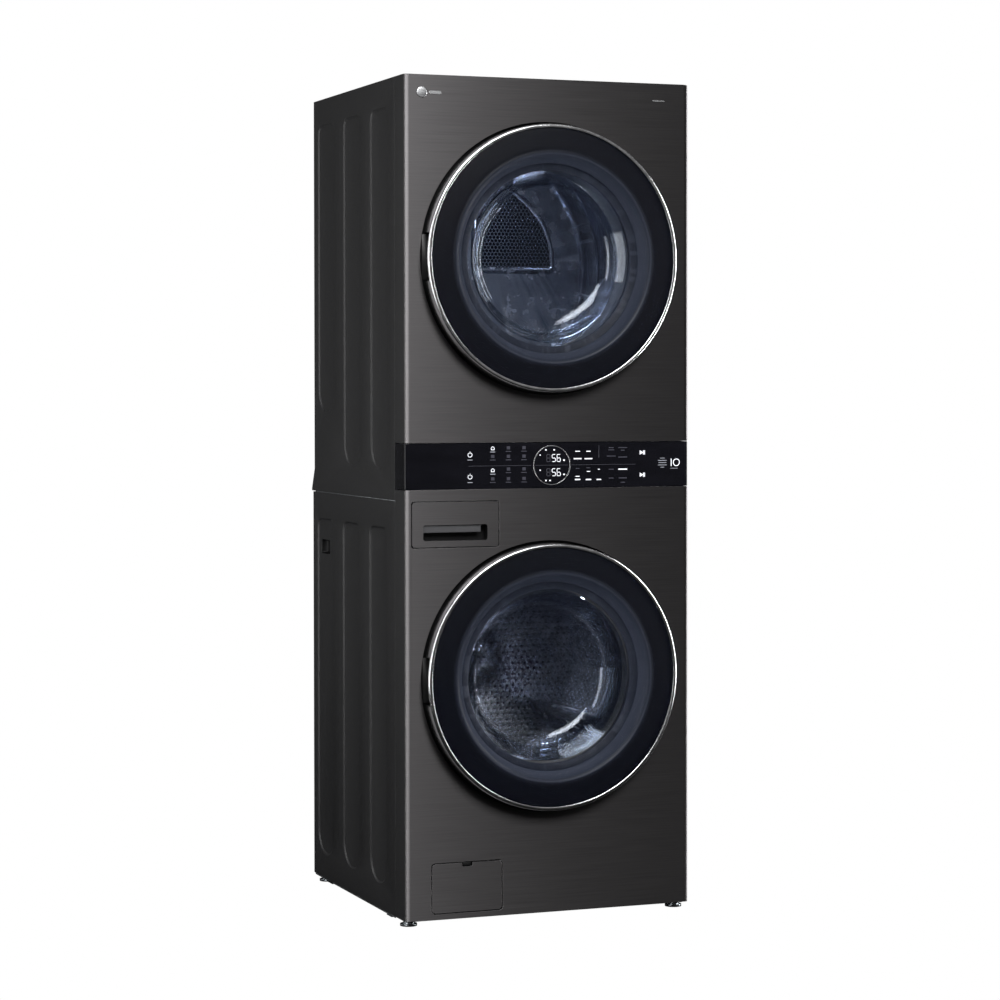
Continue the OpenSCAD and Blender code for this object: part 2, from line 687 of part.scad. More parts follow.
module door_gasket() color("gray") turn(0, washer_c) {
    ring([opening_r + 0.2, opening_r + 3.2], [dish_d + 2, 40]);
    ring([opening_r - 8, opening_r + 22], [37, 40]);
    ring([opening_r + 19, opening_r + 22], [37, 58]);
    ring([neck_r - 3.2, opening_r + 22], [55, 58]);
    ring([neck_r - 3.2, neck_r - 0.2], [55, 74]);
}

// A coil of round wire swept from a helix.
module coil(x, d, z0, z1, r, wire, turns) {
    sides = 6;
    steps = 12;
    n = turns * steps;
    function spin(i) = 360 * i / steps;
    points = [for (i = [0:n], k = [0:sides - 1])
        let (a = spin(i), b = 360 * k / sides, rr = r + wire * cos(b))
        [x + rr * cos(a), front_y + d + rr * sin(a), z0 + wire + (z1 - z0 - 2 * wire) * i / n + wire * sin(b)]];
    walls = [for (i = [0:n - 1], k = [0:sides - 1])
        let (m = (k + 1) % sides) [i * sides + k, i * sides + m, (i + 1) * sides + m, (i + 1) * sides + k]];
    polyhedron(concat(points), concat(walls,
        [[for (k = [sides - 1:-1:0]) k]], [[for (k = [0:sides - 1]) n * sides + k]]));
}

module tub_springs() color("silver") for (s = [-1, 1])
    coil(s * ear_x, tub_mid + (s > 0 ? 8 : 8), ear_top + 0.5, spring_top - 0.5, 11, 2.2, 8);

module tub_dampers() color("dimgray") for (s = [-1, 1], d = damper_ds) {
    post(s * damper_x, max(d, tub_mid + 20), 13, [washer_z0 + 2, (damper_top + washer_z0) / 2]);
    post(s * damper_x, max(d, tub_mid + 20), 5, [(damper_top + washer_z0) / 2 - 0.01, damper_top]);
}

// The rear wall rises to a hub: radius and share of the full rise.
hub_r = 126;
hub_shape = [[0, 1], [30, 1], [37, 0.96], [46, 0.83], [62, 0.57], [86, 0.25], [110, 0.06], [hub_r, 0]];
module washer_drum() color("lightsteelblue") turn(0, washer_c) {
    ring([drum_r - sheet, drum_r], [drum_d0, drum_d1]);
    ring([opening_r - 3, drum_r], [drum_d0, drum_d0 + 1.2]);
    ring([opening_r - 5, opening_r - 3], [drum_d0 - 4, drum_d0 + 4]);
    ring([hub_r - 2, drum_r], [drum_d1 - 1.2, drum_d1]);
    polygon(concat(
        [for (p = hub_shape) [p[0], drum_d1 - 1.2 - p[1] * (hub_rise - 1.2)]],
        [for (i = [len(hub_shape) - 1:-1:0])
            [max(hub_shape[i][0] - 1, 0), drum_d1 - hub_shape[i][1] * (hub_rise - 1.2)]]
    ));
}

// Three vanes at equal angles inside a drum, drawn as their cross-section and run along it.
module vanes(c, r, base, top, crest, d, start) {
    translate([0, front_y + d[1], c]) rotate([90, 0, 0]) linear_extrude(d[1] - d[0]) intersection() {
        circle(r = r, $fn = 144);
        for (i = [0:2]) rotate(start + 120 * i) {
            polygon([[r + 5, -base], [top, -crest], [top, crest], [r + 5, base]]);
            translate([top, 0]) circle(r = crest, $fn = 32);
        }
    }
}
// The same vanes as shells that are open towards the drum.
module hollow_vanes(c, r, base, top, crest, d, start, wall) difference() {
    vanes(c, r, base, top, crest, d, start);
    vanes(c, r + 3, base - 1.4 * wall, top, crest - wall, [d[0] + wall, d[1] - wall], start);
}
module drum_lifters() color("slategray")
    hollow_vanes(washer_c, drum_r - sheet, 34, drum_r - 60, 11, [drum_d0 + 22, drum_d1 - 26], -35, 2.5);

module drum_spider() color("darkgray") {
    turn(0, washer_c) {
        ring([0, 46], [drum_d1, drum_d1 + 16]);
        ring([0, shaft_r], [drum_d1, rotor_d + 6]);
        ring([shaft_r, 138], [rotor_d + 2, rotor_d + 5]);
        ring([133, 138], [stator_d, rotor_d + 5]);
    }
    for (a = [90, 210, 330])
        translate([0, front_y, washer_c]) rotate([0, a, 0])
            translate([40, drum_d1, -16]) cube([drum_r - 56, 15, 32]);
}

// Wound teeth on a core; the gaps between them are cut through.
module motor_stator() color("peru") difference() {
    turn(0, washer_c) {
        ring([46, 127], [stator_d + 4, stator_d + 18]);
        ring([92, 120], [stator_d, stator_d + 22]);
    }
    for (i = [0:23]) translate([0, front_y, washer_c]) rotate([0, 15 * i, 0])
        translate([86, stator_d - 1, -4]) cube([44, 24, 8]);
}

// ---------- dryer inside ----------

module dryer_drum() color("lightsteelblue") turn(0, dryer_c) {
    ring([dryer_drum_r - sheet, dryer_drum_r], [dryer_d0, dryer_d1]);
    for (d = [dryer_d0 + 90, dryer_d1 - 100])
        ring([dryer_drum_r - 4, dryer_drum_r], [d, d + 8]);
}

module dryer_baffles() color("lightsteelblue")
    hollow_vanes(dryer_c, dryer_drum_r - 4, 44, dryer_drum_r - 66, 14, [dryer_d0 + 30, dryer_d1 - 30], -62, 1.2);

module front_bulkhead() color("silver") difference() {
    union() {
        difference() {
            block([-half_w + sheet, half_w - sheet], [bulk_d, bulk_d + 1.5], [bulk_z0, bulk_z1]);
            bar(0, dryer_c, opening_r, [bulk_d - 1, bulk_d + 5]);
        }
        turn(0, dryer_c) {
            ring([opening_r, opening_r + 2], [dish_d + 2, bulk_d + 1.5]);
            ring([dryer_drum_r - 8, dryer_drum_r - sheet - touch], [bulk_d + 1, bulk_d + 22]);
        }
    }
    block([-lint_w / 2 - 1, lint_w / 2 + 1], [lint_d - 1, lint_d + lint_t + 1],
          [dryer_c - opening_r - 30, dryer_c + 12 - sqrt(pow(opening_r, 2) - pow(lint_w / 2 + 1, 2))]);
}

// Rear wall with the grille that the warm air enters through; the heater duct is riveted to its back.
grille_cells = 9;
module rear_bulkhead() color("silver") {
    difference() {
        union() {
            block([-half_w + sheet + rib_press, half_w - sheet - rib_press], [dryer_d1 + 4, dryer_d1 + 5.2],
                  [bulk_z0, bulk_z1]);
            turn(0, dryer_c) ring([dryer_drum_r - 8, dryer_drum_r - sheet - touch], [dryer_d1 - 14, dryer_d1 + 5]);
        }
        for (i = [0:grille_cells - 1])
            block([70 + 16 * i, 78 + 16 * i], [dryer_d1, dryer_d1 + 10],
                  [dryer_c + 14, dryer_c + sqrt(pow(236, 2) - pow(78 + 16 * i, 2))]);
    }
    difference() {
        block([56, 236], [dryer_d1 + 5.1, dryer_depth - 12], [dryer_c - 180, dryer_c + 240]);
        block([58, 234], [dryer_d1 + 4, dryer_depth - 14], [dryer_c - 178, dryer_c + 238]);
    }
}

// Belt path: round the drum, down two tangents and round the motor pulley.
belt_dx = motor_x;
belt_dz = motor_z - dryer_c;
belt_span = sqrt(pow(belt_dx, 2) + pow(belt_dz, 2));
function belt_shape(r1, r2) =
    let (lean = asin((r1 - r2) / belt_span), dir = atan2(belt_dz, belt_dx), sink = 0.02)
    [for (p = [[0, r1 - sink, 1], [1, r2 - sink, 1], [1, r2 - sink, -1], [0, r1 - sink, -1]])
        let (a = dir + p[2] * (90 - lean))
        [p[0] * belt_dx + p[1] * cos(a), p[0] * belt_dz + p[1] * sin(a)]];
module belt_solid(grow, d) {
    bar(0, dryer_c, dryer_drum_r + grow, d, 144);
    bar(motor_x, motor_z, pulley_r + grow, d, 96);
    translate([0, front_y + d[1], dryer_c]) rotate([90, 0, 0])
        linear_extrude(d[1] - d[0]) polygon(belt_shape(dryer_drum_r + grow, pulley_r + grow));
}
module drum_belt() color("#202022") difference() {
    belt_solid(touch + belt_t, [belt_d, belt_d + belt_w]);
    belt_solid(touch, [belt_d - 1, belt_d + belt_w + 1]);
}

module dryer_motor() color("gray") difference() {
    union() {
        turn(motor_x, motor_z, 96) {
            ring([42, 54], [belt_d - 150, belt_d - 20]);
            ring([0, 54], [belt_d - 150, belt_d - 142]);
            ring([0, 54], [belt_d - 28, belt_d - 20]);
        }
        for (d = [belt_d - 140, belt_d - 34])
            block([motor_x - 60, motor_x + 60], [d, d + 4], [split_z + 1, motor_z - 44]);
        block([motor_x - 60, motor_x + 60], [belt_d - 140, belt_d - 30], [split_z + 1, split_z + 5]);
    }
    bar(motor_x, motor_z, 8 + touch, [belt_d - 160, belt_d - 10]);
}

// One shaft carries the belt pulley at the back and the fan wheel at the front.
fan_d = [102, 140];
module motor_shaft() color("silver") {
    bar(motor_x, motor_z, 8, [fan_d[0] + 8, belt_d + belt_w + 6]);
    bar(motor_x, motor_z, pulley_r, [belt_d - 2, belt_d + belt_w + 2]);
    turn(motor_x, motor_z, 72) {
        ring([0, 24], [fan_d[0], fan_d[1]]);
        ring([0, 66], [fan_d[1] - 3, fan_d[1]]);
    }
    for (i = [0:11]) translate([motor_x, front_y, motor_z]) rotate([0, 30 * i, 0])
        translate([50, fan_d[0], -1]) cube([14, fan_d[1] - fan_d[0] - 2, 2]);
}

module blower_housing() color("whitesmoke") difference() {
    union() {
        bar(motor_x, motor_z, blower_r, [bulk_d + 4, fan_d[1] + 22]);
        block([duct_x - 62, motor_x], [bulk_d + 4, fan_d[1] + 22], [motor_z - blower_r, motor_z + blower_r - 30]);
        block([-lint_w / 2 - 5, lint_w / 2 + 5], [lint_d - 4, lint_d + lint_t + 4],
              [motor_z - 70, dryer_c - opening_r - 34]);
        bar(motor_x, motor_z, 34, [lint_d + lint_t, bulk_d + 5]);
    }
    bar(motor_x, motor_z, blower_r - 3, [bulk_d + 7, fan_d[1] + 19]);
    block([duct_x - 59, motor_x], [bulk_d + 7, fan_d[1] + 19], [motor_z - blower_r + 3, motor_z + blower_r - 33]);
    block([-lint_w / 2 - 1, lint_w / 2 + 1], [lint_d - 1, lint_d + lint_t + 1],
          [motor_z - 66, dryer_c - opening_r - 30]);
    bar(motor_x, motor_z, 30, [lint_d + lint_t, bulk_d + 8]);
    bar(motor_x, motor_z, 10, [fan_d[1] + 10, fan_d[1] + 30]);
    bar(duct_x, duct_z, duct_r - 1, [fan_d[1] + 10, fan_d[1] + 30]);
}

module exhaust_duct() color("silver") turn(duct_x, duct_z, 96) {
    ring([duct_r - 1, duct_r], [fan_d[1] + 22, rear_d]);
    ring([duct_r - 0.5, duct_r + 1.5], [dryer_depth + 6, dryer_depth + 9]);
    ring([duct_r, duct_r + 5], [fan_d[1] + 22, fan_d[1] + 24]);
}

// Mesh screen in a frame; its top bar is the finger grip at the foot of the opening.
module lint_filter() color("gray") {
    z0 = dryer_c - opening_r - lint_h + 6;
    difference() {
        block([-lint_w / 2, lint_w / 2], [lint_d, lint_d + lint_t], [z0, z0 + lint_h]);
        for (s = [-1, 1])
            block([s > 0 ? 5 : -lint_w / 2 + 8, s > 0 ? lint_w / 2 - 8 : -5],
                  [lint_d + 2, lint_d + lint_t + 1], [z0 + 8, z0 + lint_h - 16]);
    }
}

// ---------- services ----------

// Hot and cold unions on their valve, and the drain outlet.
module rear_connections() color("whitesmoke") {
    for (x = inlet_xs) {
        bar(x, inlet_z, 13, [washer_depth - 30, washer_depth + 22]);
        bar(x, inlet_z, 19, [washer_depth - 12, washer_depth - 2 * sheet]);
    }
    block([inlet_xs[0] - 20, inlet_xs[1] + 20], [washer_depth - 60, washer_depth - 12], [inlet_z - 18, inlet_z + 18]);
    bar(drain_x, drain_z, 15, [washer_depth - 40, washer_depth + 30]);
    bar(drain_x, drain_z, 21, [washer_depth - 12, washer_depth - 2 * sheet]);
}

// Cover over the power terminals, with the cable's hole in its rear wall.
module power_cover() color("whitesmoke") difference() {
    block([power_x - 36, power_x + 36], [dryer_depth - sheet, dryer_depth + 30], [power_z - 26, power_z + 26]);
    block([power_x - 34, power_x + 34], [dryer_depth - 2 * sheet, dryer_depth + 28], [power_z - 24, power_z + 24]);
    bar(power_x, power_z, cable_hole_r, [dryer_depth + 26, dryer_depth + 32]);
}

base_frame();
foot_front_left();
foot_front_right();
foot_rear_left();
foot_rear_right();
washer_side_left();
washer_side_right();
dryer_side_left();
dryer_side_right();
washer_back_panel();
dryer_back_panel();
top_panel();
mid_frame();
washer_front_panel();
dryer_front_panel();
washer_door_surround();
dryer_door_surround();
control_fascia();
control_housing();
control_board();
drawer_front();
drawer_tray();
drawer_housing();
filter_cover();
filter_cap();
drain_pump();
washer_door_rim();
washer_door_frame();
washer_door_glass();
washer_door_bowl();
washer_door_hardware();
dryer_door_rim();
dryer_door_frame();
dryer_door_glass();
dryer_door_bowl();
dryer_door_hardware();
door_hinge_brackets();
door_locks();
tub_front();
tub_rear();
counterweights();
door_gasket();
tub_springs();
tub_dampers();
washer_drum();
drum_lifters();
drum_spider();
motor_stator();
dryer_drum();
dryer_baffles();
front_bulkhead();
rear_bulkhead();
drum_belt();
dryer_motor();
motor_shaft();
blower_housing();
exhaust_duct();
lint_filter();
rear_connections();
power_cover();
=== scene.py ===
# %% [markdown]
# # A laundry tower, built as a lesson
# A washing machine with a dryer standing on it. The measured model comes first; it gives every place
# and every moving body. Most inner parts keep their measured shape and only get a finish. The parts
# that carry the look, such as the folded steel fronts, the pressed sides and the touch panel, are
# modelled again with softer edges.

# %% Load the measured model
import math
import bpy
import bmesh
from mathutils import Matrix, Vector


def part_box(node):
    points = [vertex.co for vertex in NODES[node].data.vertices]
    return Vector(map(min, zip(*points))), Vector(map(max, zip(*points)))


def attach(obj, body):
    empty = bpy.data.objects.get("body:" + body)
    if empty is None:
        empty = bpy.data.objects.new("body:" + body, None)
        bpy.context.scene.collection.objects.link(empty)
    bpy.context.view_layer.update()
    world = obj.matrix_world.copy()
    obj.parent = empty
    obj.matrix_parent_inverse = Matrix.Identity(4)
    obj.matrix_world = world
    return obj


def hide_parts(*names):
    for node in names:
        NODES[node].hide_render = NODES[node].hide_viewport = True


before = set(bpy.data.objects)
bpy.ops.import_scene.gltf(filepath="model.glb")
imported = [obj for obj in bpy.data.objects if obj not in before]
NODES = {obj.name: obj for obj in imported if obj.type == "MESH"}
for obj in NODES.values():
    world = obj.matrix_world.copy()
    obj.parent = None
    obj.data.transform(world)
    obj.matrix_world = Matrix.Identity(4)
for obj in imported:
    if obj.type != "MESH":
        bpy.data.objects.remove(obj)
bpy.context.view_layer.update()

# %% [markdown]
# ## Sizes
# All lengths below are in millimetres and are turned to metres in one place. The faces of the measured
# parts give the main planes, so nothing has to be placed by eye. `d` always means the depth behind the
# front face.

# %% Main planes and centres
MM = 0.001


def span(part, axis):
    low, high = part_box(part)
    return low[axis] / MM, high[axis] / MM


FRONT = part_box("washer_front_panel")[0][1] / MM
HALF = span("washer_front_panel", 0)[1]
WASHER = sum(span("washer_door_glass", 2)) / 2
DRYER = sum(span("dryer_door_glass", 2)) / 2
DOOR_R = span("washer_door_rim", 0)[1]
WRAP = span("washer_front_panel", 1)[1] - FRONT
ROLL, LIP, TURN = 40, 4, math.radians(11)
EDGE = ROLL * math.sin(TURN) + LIP * (1 - math.sin(TURN))
print("half width", round(HALF, 1), "door centres", round(WASHER, 1), round(DRYER, 1))


# %% [markdown]
# ## The camera
# A long lens from far away, a little to the left of the machine and just above its middle.

# %% Camera
camera = bpy.data.objects.new("camera", bpy.data.cameras.new("camera"))
bpy.context.scene.collection.objects.link(camera)
camera.data.lens = 100.45
camera.data.shift_y = -0.0588
camera.data.sensor_width = 36
camera.data.clip_end = 60
camera.location = (-2.3430, -6.1563, 1.2083)
camera.rotation_euler = (math.radians(90 - 1.198), math.radians(0.069), math.radians(-20.92))
bpy.context.scene.camera = camera
bpy.context.scene.view_settings.view_transform = "Standard"
print("camera at", tuple(round(v, 2) for v in camera.location))

# %% [markdown]
# ## Helpers for shapes
# Each piece is a small bmesh that is shaped by operators. `put` turns it into a finished object: it
# scales the millimetres down, smooths it, and gives it its finish and its body.

# %% Shape helpers


def at(x, d, z):
    return Vector((x, FRONT + d, z))


def put(bm, name, body, material, replaces=(), wall=0, soft=0, outward=False, segments=2):
    bmesh.ops.remove_doubles(bm, verts=bm.verts[:], dist=0.001)
    if outward:
        bmesh.ops.recalc_face_normals(bm, faces=bm.faces[:])
    bmesh.ops.scale(bm, vec=(MM, MM, MM), verts=bm.verts[:])
    mesh = bpy.data.meshes.new(name)
    bm.to_mesh(mesh)
    bm.free()
    mesh.shade_smooth()
    piece = bpy.data.objects.new(name, mesh)
    bpy.context.scene.collection.objects.link(piece)
    mesh.materials.append(material)
    if wall:
        shell = piece.modifiers.new("wall", "SOLIDIFY")
        shell.thickness = wall * MM
        shell.offset = -1
    if soft:
        edge = piece.modifiers.new("soft edges", "BEVEL")
        edge.width = soft * MM
        edge.segments = segments
        edge.limit_method = "ANGLE"
        edge.angle_limit = math.radians(38)
        edge.harden_normals = True
    else:
        piece.modifiers.new("even shading", "WEIGHTED_NORMAL").keep_sharp = True
    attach(piece, body)
    if replaces:
        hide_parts(*replaces)
    return piece


def outline(bm, corners, radii, steps=7, fill=False):
    """A closed loop through the corners, each rounded by its own radius."""
    known = set(bm.faces)
    points = [bm.verts.new(c) for c in corners]
    bm.faces.new(points)
    for radius in sorted(set(r for r in radii if r)):
        picked = [p for p, r in zip(points, radii) if r == radius]
        bmesh.ops.bevel(bm, geom=picked, offset=radius, affect="VERTICES", segments=steps,
                        profile=0.5, material=-1)
    fresh = [f for f in bm.faces if f not in known]
    edges = list({e for f in fresh for e in f.edges})
    if not fill:
        bmesh.ops.delete(bm, geom=fresh, context="FACES_ONLY")
        return edges
    return fresh


def plate_outline(bm, x, z, d, radius, fill=False):
    corners = [at(x[0], d, z[0]), at(x[1], d, z[0]), at(x[1], d, z[1]), at(x[0], d, z[1])]
    return outline(bm, corners, [radius] * 4, fill=fill)


def circle(bm, x, z, d, radius, steps=128):
    turn = Matrix.Translation(at(x, d, z)) @ Matrix.Rotation(math.radians(90), 4, "X")
    made = bmesh.ops.create_circle(bm, cap_ends=False, segments=steps, radius=radius, matrix=turn)
    return list({e for v in made["verts"] for e in v.link_edges})


def push(bm, faces, vector):
    """Extrudes flat faces into a solid."""
    made = bmesh.ops.extrude_face_region(bm, geom=faces)
    moved = [g for g in made["geom"] if isinstance(g, bmesh.types.BMVert)]
    bmesh.ops.translate(bm, verts=moved, vec=vector)


def revolve(bm, profile, x, z, steps=144, closed=True):
    """Spins a profile of (radius, depth) pairs round a front-to-back axis."""
    points = [bm.verts.new(at(x + r, d, z)) for r, d in profile]
    pairs = list(zip(points, points[1:])) + ([(points[-1], points[0])] if closed else [])
    lines = [bm.edges.new(p) for p in pairs]
    bmesh.ops.spin(bm, geom=points + lines, cent=at(x, 0, z), axis=(0, 1, 0),
                   angle=math.radians(360), steps=steps, use_merge=True)


def box(bm, x, d, z, soft=0):
    middle = at((x[0] + x[1]) / 2, (d[0] + d[1]) / 2, (z[0] + z[1]) / 2)
    size = Matrix.Diagonal((x[1] - x[0], d[1] - d[0], z[1] - z[0], 1))
    made = bmesh.ops.create_cube(bm, size=1, matrix=Matrix.Translation(middle) @ size)
    if soft:
        edges = list({e for v in made["verts"] for e in v.link_edges})
        bmesh.ops.bevel(bm, geom=edges, offset=soft, affect="EDGES", segments=2, profile=0.5,
                        material=-1)


# %% [markdown]
# ## Helpers for finishes
# Every finish is a Principled shader. Values that are the same all over are set on its sockets;
# patterns are noise whose size is written in millimetres. `node` adds any node with its settings and
# links, so the finishes read like recipes.

# %% Finish helpers


def linear(text):
    values = [int(text[i:i + 2], 16) / 255 for i in (1, 3, 5)]
    return tuple(v / 12.92 if v <= 0.04045 else ((v + 0.055) / 1.055) ** 2.4 for v in values) + (1.0,)


def node(tree, kind, links=None, values=None, **settings):
    made = tree.nodes.new(kind)
    for key, value in settings.items():
        setattr(made, key, value)
    for socket, value in (values or {}).items():
        made.inputs[socket].default_value = value
    for socket, source in (links or {}).items():
        tree.links.new(source, made.inputs[socket])
    return made


def object_place(tree, **mapping):
    """Object coordinates, moved or scaled by a Mapping node."""
    whole = node(tree, "ShaderNodeTexCoord").outputs["Object"]
    return node(tree, "ShaderNodeMapping", {"Vector": whole}, mapping).outputs["Vector"]


def finish(name, colour, roughness, metallic=0.0, **sockets):
    material = bpy.data.materials.new(name)
    material.use_nodes = True
    shader = material.node_tree.nodes["Principled BSDF"]
    shader.inputs["Base Color"].default_value = linear(colour)
    shader.inputs["Roughness"].default_value = roughness
    shader.inputs["Metallic"].default_value = metallic
    for key, value in sockets.items():
        shader.inputs[key.replace("_", " ")].default_value = value
    return material


def blotches(material, size, colours=None, rough=None, relief=0.0, detail=3.0):
    """Noise of a real size in millimetres that varies colour, roughness and height."""
    tree = material.node_tree
    shader = tree.nodes["Principled BSDF"]
    place = object_place(tree, Scale=tuple(1 / (s * MM) for s in size))
    noise = node(tree, "ShaderNodeTexNoise", {"Vector": place},
                 {"Scale": 1.0, "Detail": detail, "Roughness": 0.55})
    if colours:
        ramp = node(tree, "ShaderNodeValToRGB", {"Fac": noise.outputs["Fac"]})
        ramp.color_ramp.elements[0].position = 0.3
        ramp.color_ramp.elements[1].position = 0.7
        for stop, colour in zip(ramp.color_ramp.elements, colours):
            stop.color = linear(colour)
        tree.links.new(ramp.outputs["Color"], shader.inputs["Base Color"])
    if rough:
        fit = node(tree, "ShaderNodeMapRange", {"Value": noise.outputs["Fac"]},
                   {"From Min": 0.3, "From Max": 0.7, "To Min": rough[0], "To Max": rough[1]})
        tree.links.new(fit.outputs["Result"], shader.inputs["Roughness"])
    if relief:
        bump = node(tree, "ShaderNodeBump", {"Height": noise.outputs["Fac"]},
                    {"Strength": 1.0, "Distance": relief * MM})
        earlier = shader.inputs["Normal"].links
        if earlier:
            tree.links.new(earlier[0].from_socket, bump.inputs["Normal"])
        tree.links.new(bump.outputs["Normal"], shader.inputs["Normal"])
    return noise


# %% [markdown]
# ## Black stainless steel, brushed
# The fronts are stainless sheet, brushed along its width and tinted dark. Brushing stretches every
# highlight at a right angle to the lines, so a lamp overhead runs down the panel as a soft column of
# light. The shader's anisotropy does that, with a tangent that runs round the cabinet. Real brush lines
# are 0.1 mm; they are drawn 2 mm high here so that they still show from across a room.

# %% Brushed black steel


def brushed(name, colours, rough):
    material = finish(name, colours[0], rough[0], 1.0, Anisotropic=0.95, Anisotropic_Rotation=0.25)
    tree = material.node_tree
    lines = node(tree, "ShaderNodeTangent", direction_type="RADIAL", axis="Z")
    tree.links.new(lines.outputs["Tangent"], tree.nodes["Principled BSDF"].inputs["Tangent"])
    blotches(material, (160, 160, 2.0), colours, rough, detail=4.0)
    blotches(material, (60, 60, 1.1), relief=0.006, detail=2.0)
    return material


black_steel = brushed("black_stainless_brushed", ("#6c6a6b", "#767475"), (0.44, 0.48))
drawer_steel = brushed("drawer_stainless_brushed", ("#6c6a6b", "#767475"), (0.44, 0.48))
print("brushed steel ready")

# %% [markdown]
# ## Painted sheet, gloss panel, moulded plastics
# The sides are steel sheet with baked powder paint: dark, half matt, with a faint orange peel of about
# 3 mm. The touch panel is smooth acrylic. The inner trims are ABS with a fine spark-eroded grain.

# %% Paints and plastics
side_paint = finish("side_powder_paint", "#232324", 0.42)
blotches(side_paint, (3.2, 3.2, 3.2), ("#1a1a1b", "#1e1e1f"), (0.38, 0.46), 0.02)

top_paint = finish("top_black_enamel", "#0d0d0e", 0.3)
blotches(top_paint, (4, 4, 4), ("#0b0b0c", "#111112"), (0.26, 0.34), 0.01)

gloss_black = finish("panel_acrylic_gloss", "#08080b", 0.06, Specular_IOR_Level=0.3)
blotches(gloss_black, (90, 90, 30), ("#07070a", "#0b0b0f"), (0.05, 0.08))

# Near black. The trims are black ABS, but on the door surrounds and in the drawer's slot this near black is
# painted shade, standing in for the shadow in those recesses.
black_plastic_and_painted_shade = finish("trim_abs_black_and_painted_shade", "#050506", 0.5, Specular_IOR_Level=0.2)
blotches(black_plastic_and_painted_shade, (1.5, 1.5, 1.5), ("#040405", "#080809"), (0.44, 0.56), 0.03)

grip_plastic = finish("grip_abs_grey", "#343436", 0.34)
blotches(grip_plastic, (1.5, 1.5, 1.5), ("#303032", "#39393b"), (0.34, 0.42), 0.02)

grey_plastic = finish("lifter_polypropylene_grey", "#6f7276", 0.4)
blotches(grey_plastic, (2, 2, 2), ("#696c70", "#75787c"), (0.36, 0.46), 0.03)

white_plastic = finish("housing_polypropylene_white", "#d9dadb", 0.42)
blotches(white_plastic, (2.5, 2.5, 2.5), ("#d3d4d5", "#dfe0e1"), (0.38, 0.48), 0.03)

seal_rubber = finish("gasket_epdm_grey", "#77797b", 0.62)
blotches(seal_rubber, (3, 3, 3), ("#6f7173", "#808284"), (0.55, 0.7), 0.05)

belt_rubber = finish("belt_rubber_black", "#161617", 0.75)
blotches(belt_rubber, (2, 8, 2), ("#121213", "#1c1c1d"), (0.7, 0.8), 0.08)

print_white = finish("print_white_ink", "#c4c6cd", 0.4, Emission_Strength=0.2)
ink = print_white.node_tree.nodes["Principled BSDF"]
ink.inputs["Emission Color"].default_value = linear("#d9dbe2")
blotches(print_white, (1, 1, 1), ("#cfd1d8", "#e2e4ea"), (0.36, 0.44))

print_grey = finish("print_grey_ink", "#7e8088", 0.4)
blotches(print_grey, (1, 1, 1), ("#777981", "#868890"), (0.36, 0.44))

print_dim = finish("print_unlit_ink", "#2b2b33", 0.35)
blotches(print_dim, (1, 1, 1), ("#27272f", "#303039"), (0.3, 0.4))
print("paints and plastics ready")

# %% [markdown]
# ## Bright and bare metals
# The door rims are polished and plated. The base, brackets and ducts are hot-dip galvanised sheet,
# whose zinc crystals are about 12 mm across. The counterweights are grey cast iron, the spider and
# motor bells cast aluminium, the stator's wire enamelled copper.

# %% Metals
chrome_rim = finish("rim_chrome_polished", "#dcdcde", 0.24, 1.0)
blotches(chrome_rim, (14, 14, 14), ("#d6d6d8", "#e2e2e4"), (0.2, 0.26))

badge_metal = finish("badge_aluminium_satin", "#c9cacc", 0.28, 1.0)
blotches(badge_metal, (20, 20, 0.6), ("#c2c3c5", "#d0d1d3"), (0.24, 0.32))

zinc_steel = finish("frame_steel_galvanised", "#a4a8ab", 0.4, 1.0)
tree = zinc_steel.node_tree
CRYSTAL = 12
place = object_place(tree, Scale=(1 / (CRYSTAL * MM),) * 3)
crystals = node(tree, "ShaderNodeTexVoronoi", {"Vector": place}, {"Scale": 1.0})
spread = node(tree, "ShaderNodeMapRange", {"Value": crystals.outputs["Color"]},
              {"To Min": 0.3, "To Max": 0.5})
shade = node(tree, "ShaderNodeValToRGB", {"Fac": crystals.outputs["Color"]})
shade.color_ramp.elements[0].color = linear("#979b9e")
shade.color_ramp.elements[1].color = linear("#b3b7ba")
tree.links.new(spread.outputs["Result"], tree.nodes["Principled BSDF"].inputs["Roughness"])
tree.links.new(shade.outputs["Color"], tree.nodes["Principled BSDF"].inputs["Base Color"])

hinge_steel = finish("hinge_steel_black_coated", "#101011", 0.45)
blotches(hinge_steel, (3, 3, 3), ("#0e0e0f", "#151516"), (0.4, 0.5), 0.02)

foot_steel = finish("foot_steel_zinc_and_rubber", "#8f9498", 0.32, 1.0)
blotches(foot_steel, (6, 6, 2), ("#83888c", "#9ba0a4"), (0.26, 0.4), 0.01)

cast_weight = finish("weight_cast_iron", "#6d6c6a", 0.8)
blotches(cast_weight, (5, 5, 5), ("#62615f", "#7a7977"), (0.7, 0.9), 0.3)

alloy = finish("spider_cast_aluminium", "#9c9ea0", 0.45, 1.0)
blotches(alloy, (4, 4, 4), ("#929496", "#a6a8aa"), (0.4, 0.55), 0.1)

copper_winding = finish("winding_copper_enamelled", "#b0633a", 0.35, 1.0)
blotches(copper_winding, (1.2, 1.2, 1.2), ("#a35a34", "#bf6f42"), (0.28, 0.42), 0.3)

motor_paint = finish("motor_paint_grey", "#5e6163", 0.5)
blotches(motor_paint, (3, 3, 3), ("#575a5c", "#66696b"), (0.45, 0.55), 0.03)

board_green = finish("board_glass_epoxy_green", "#1d5a38", 0.4)
blotches(board_green, (8, 8, 1), ("#194f31", "#226741"), (0.35, 0.45), 0.02)
print("metals ready")
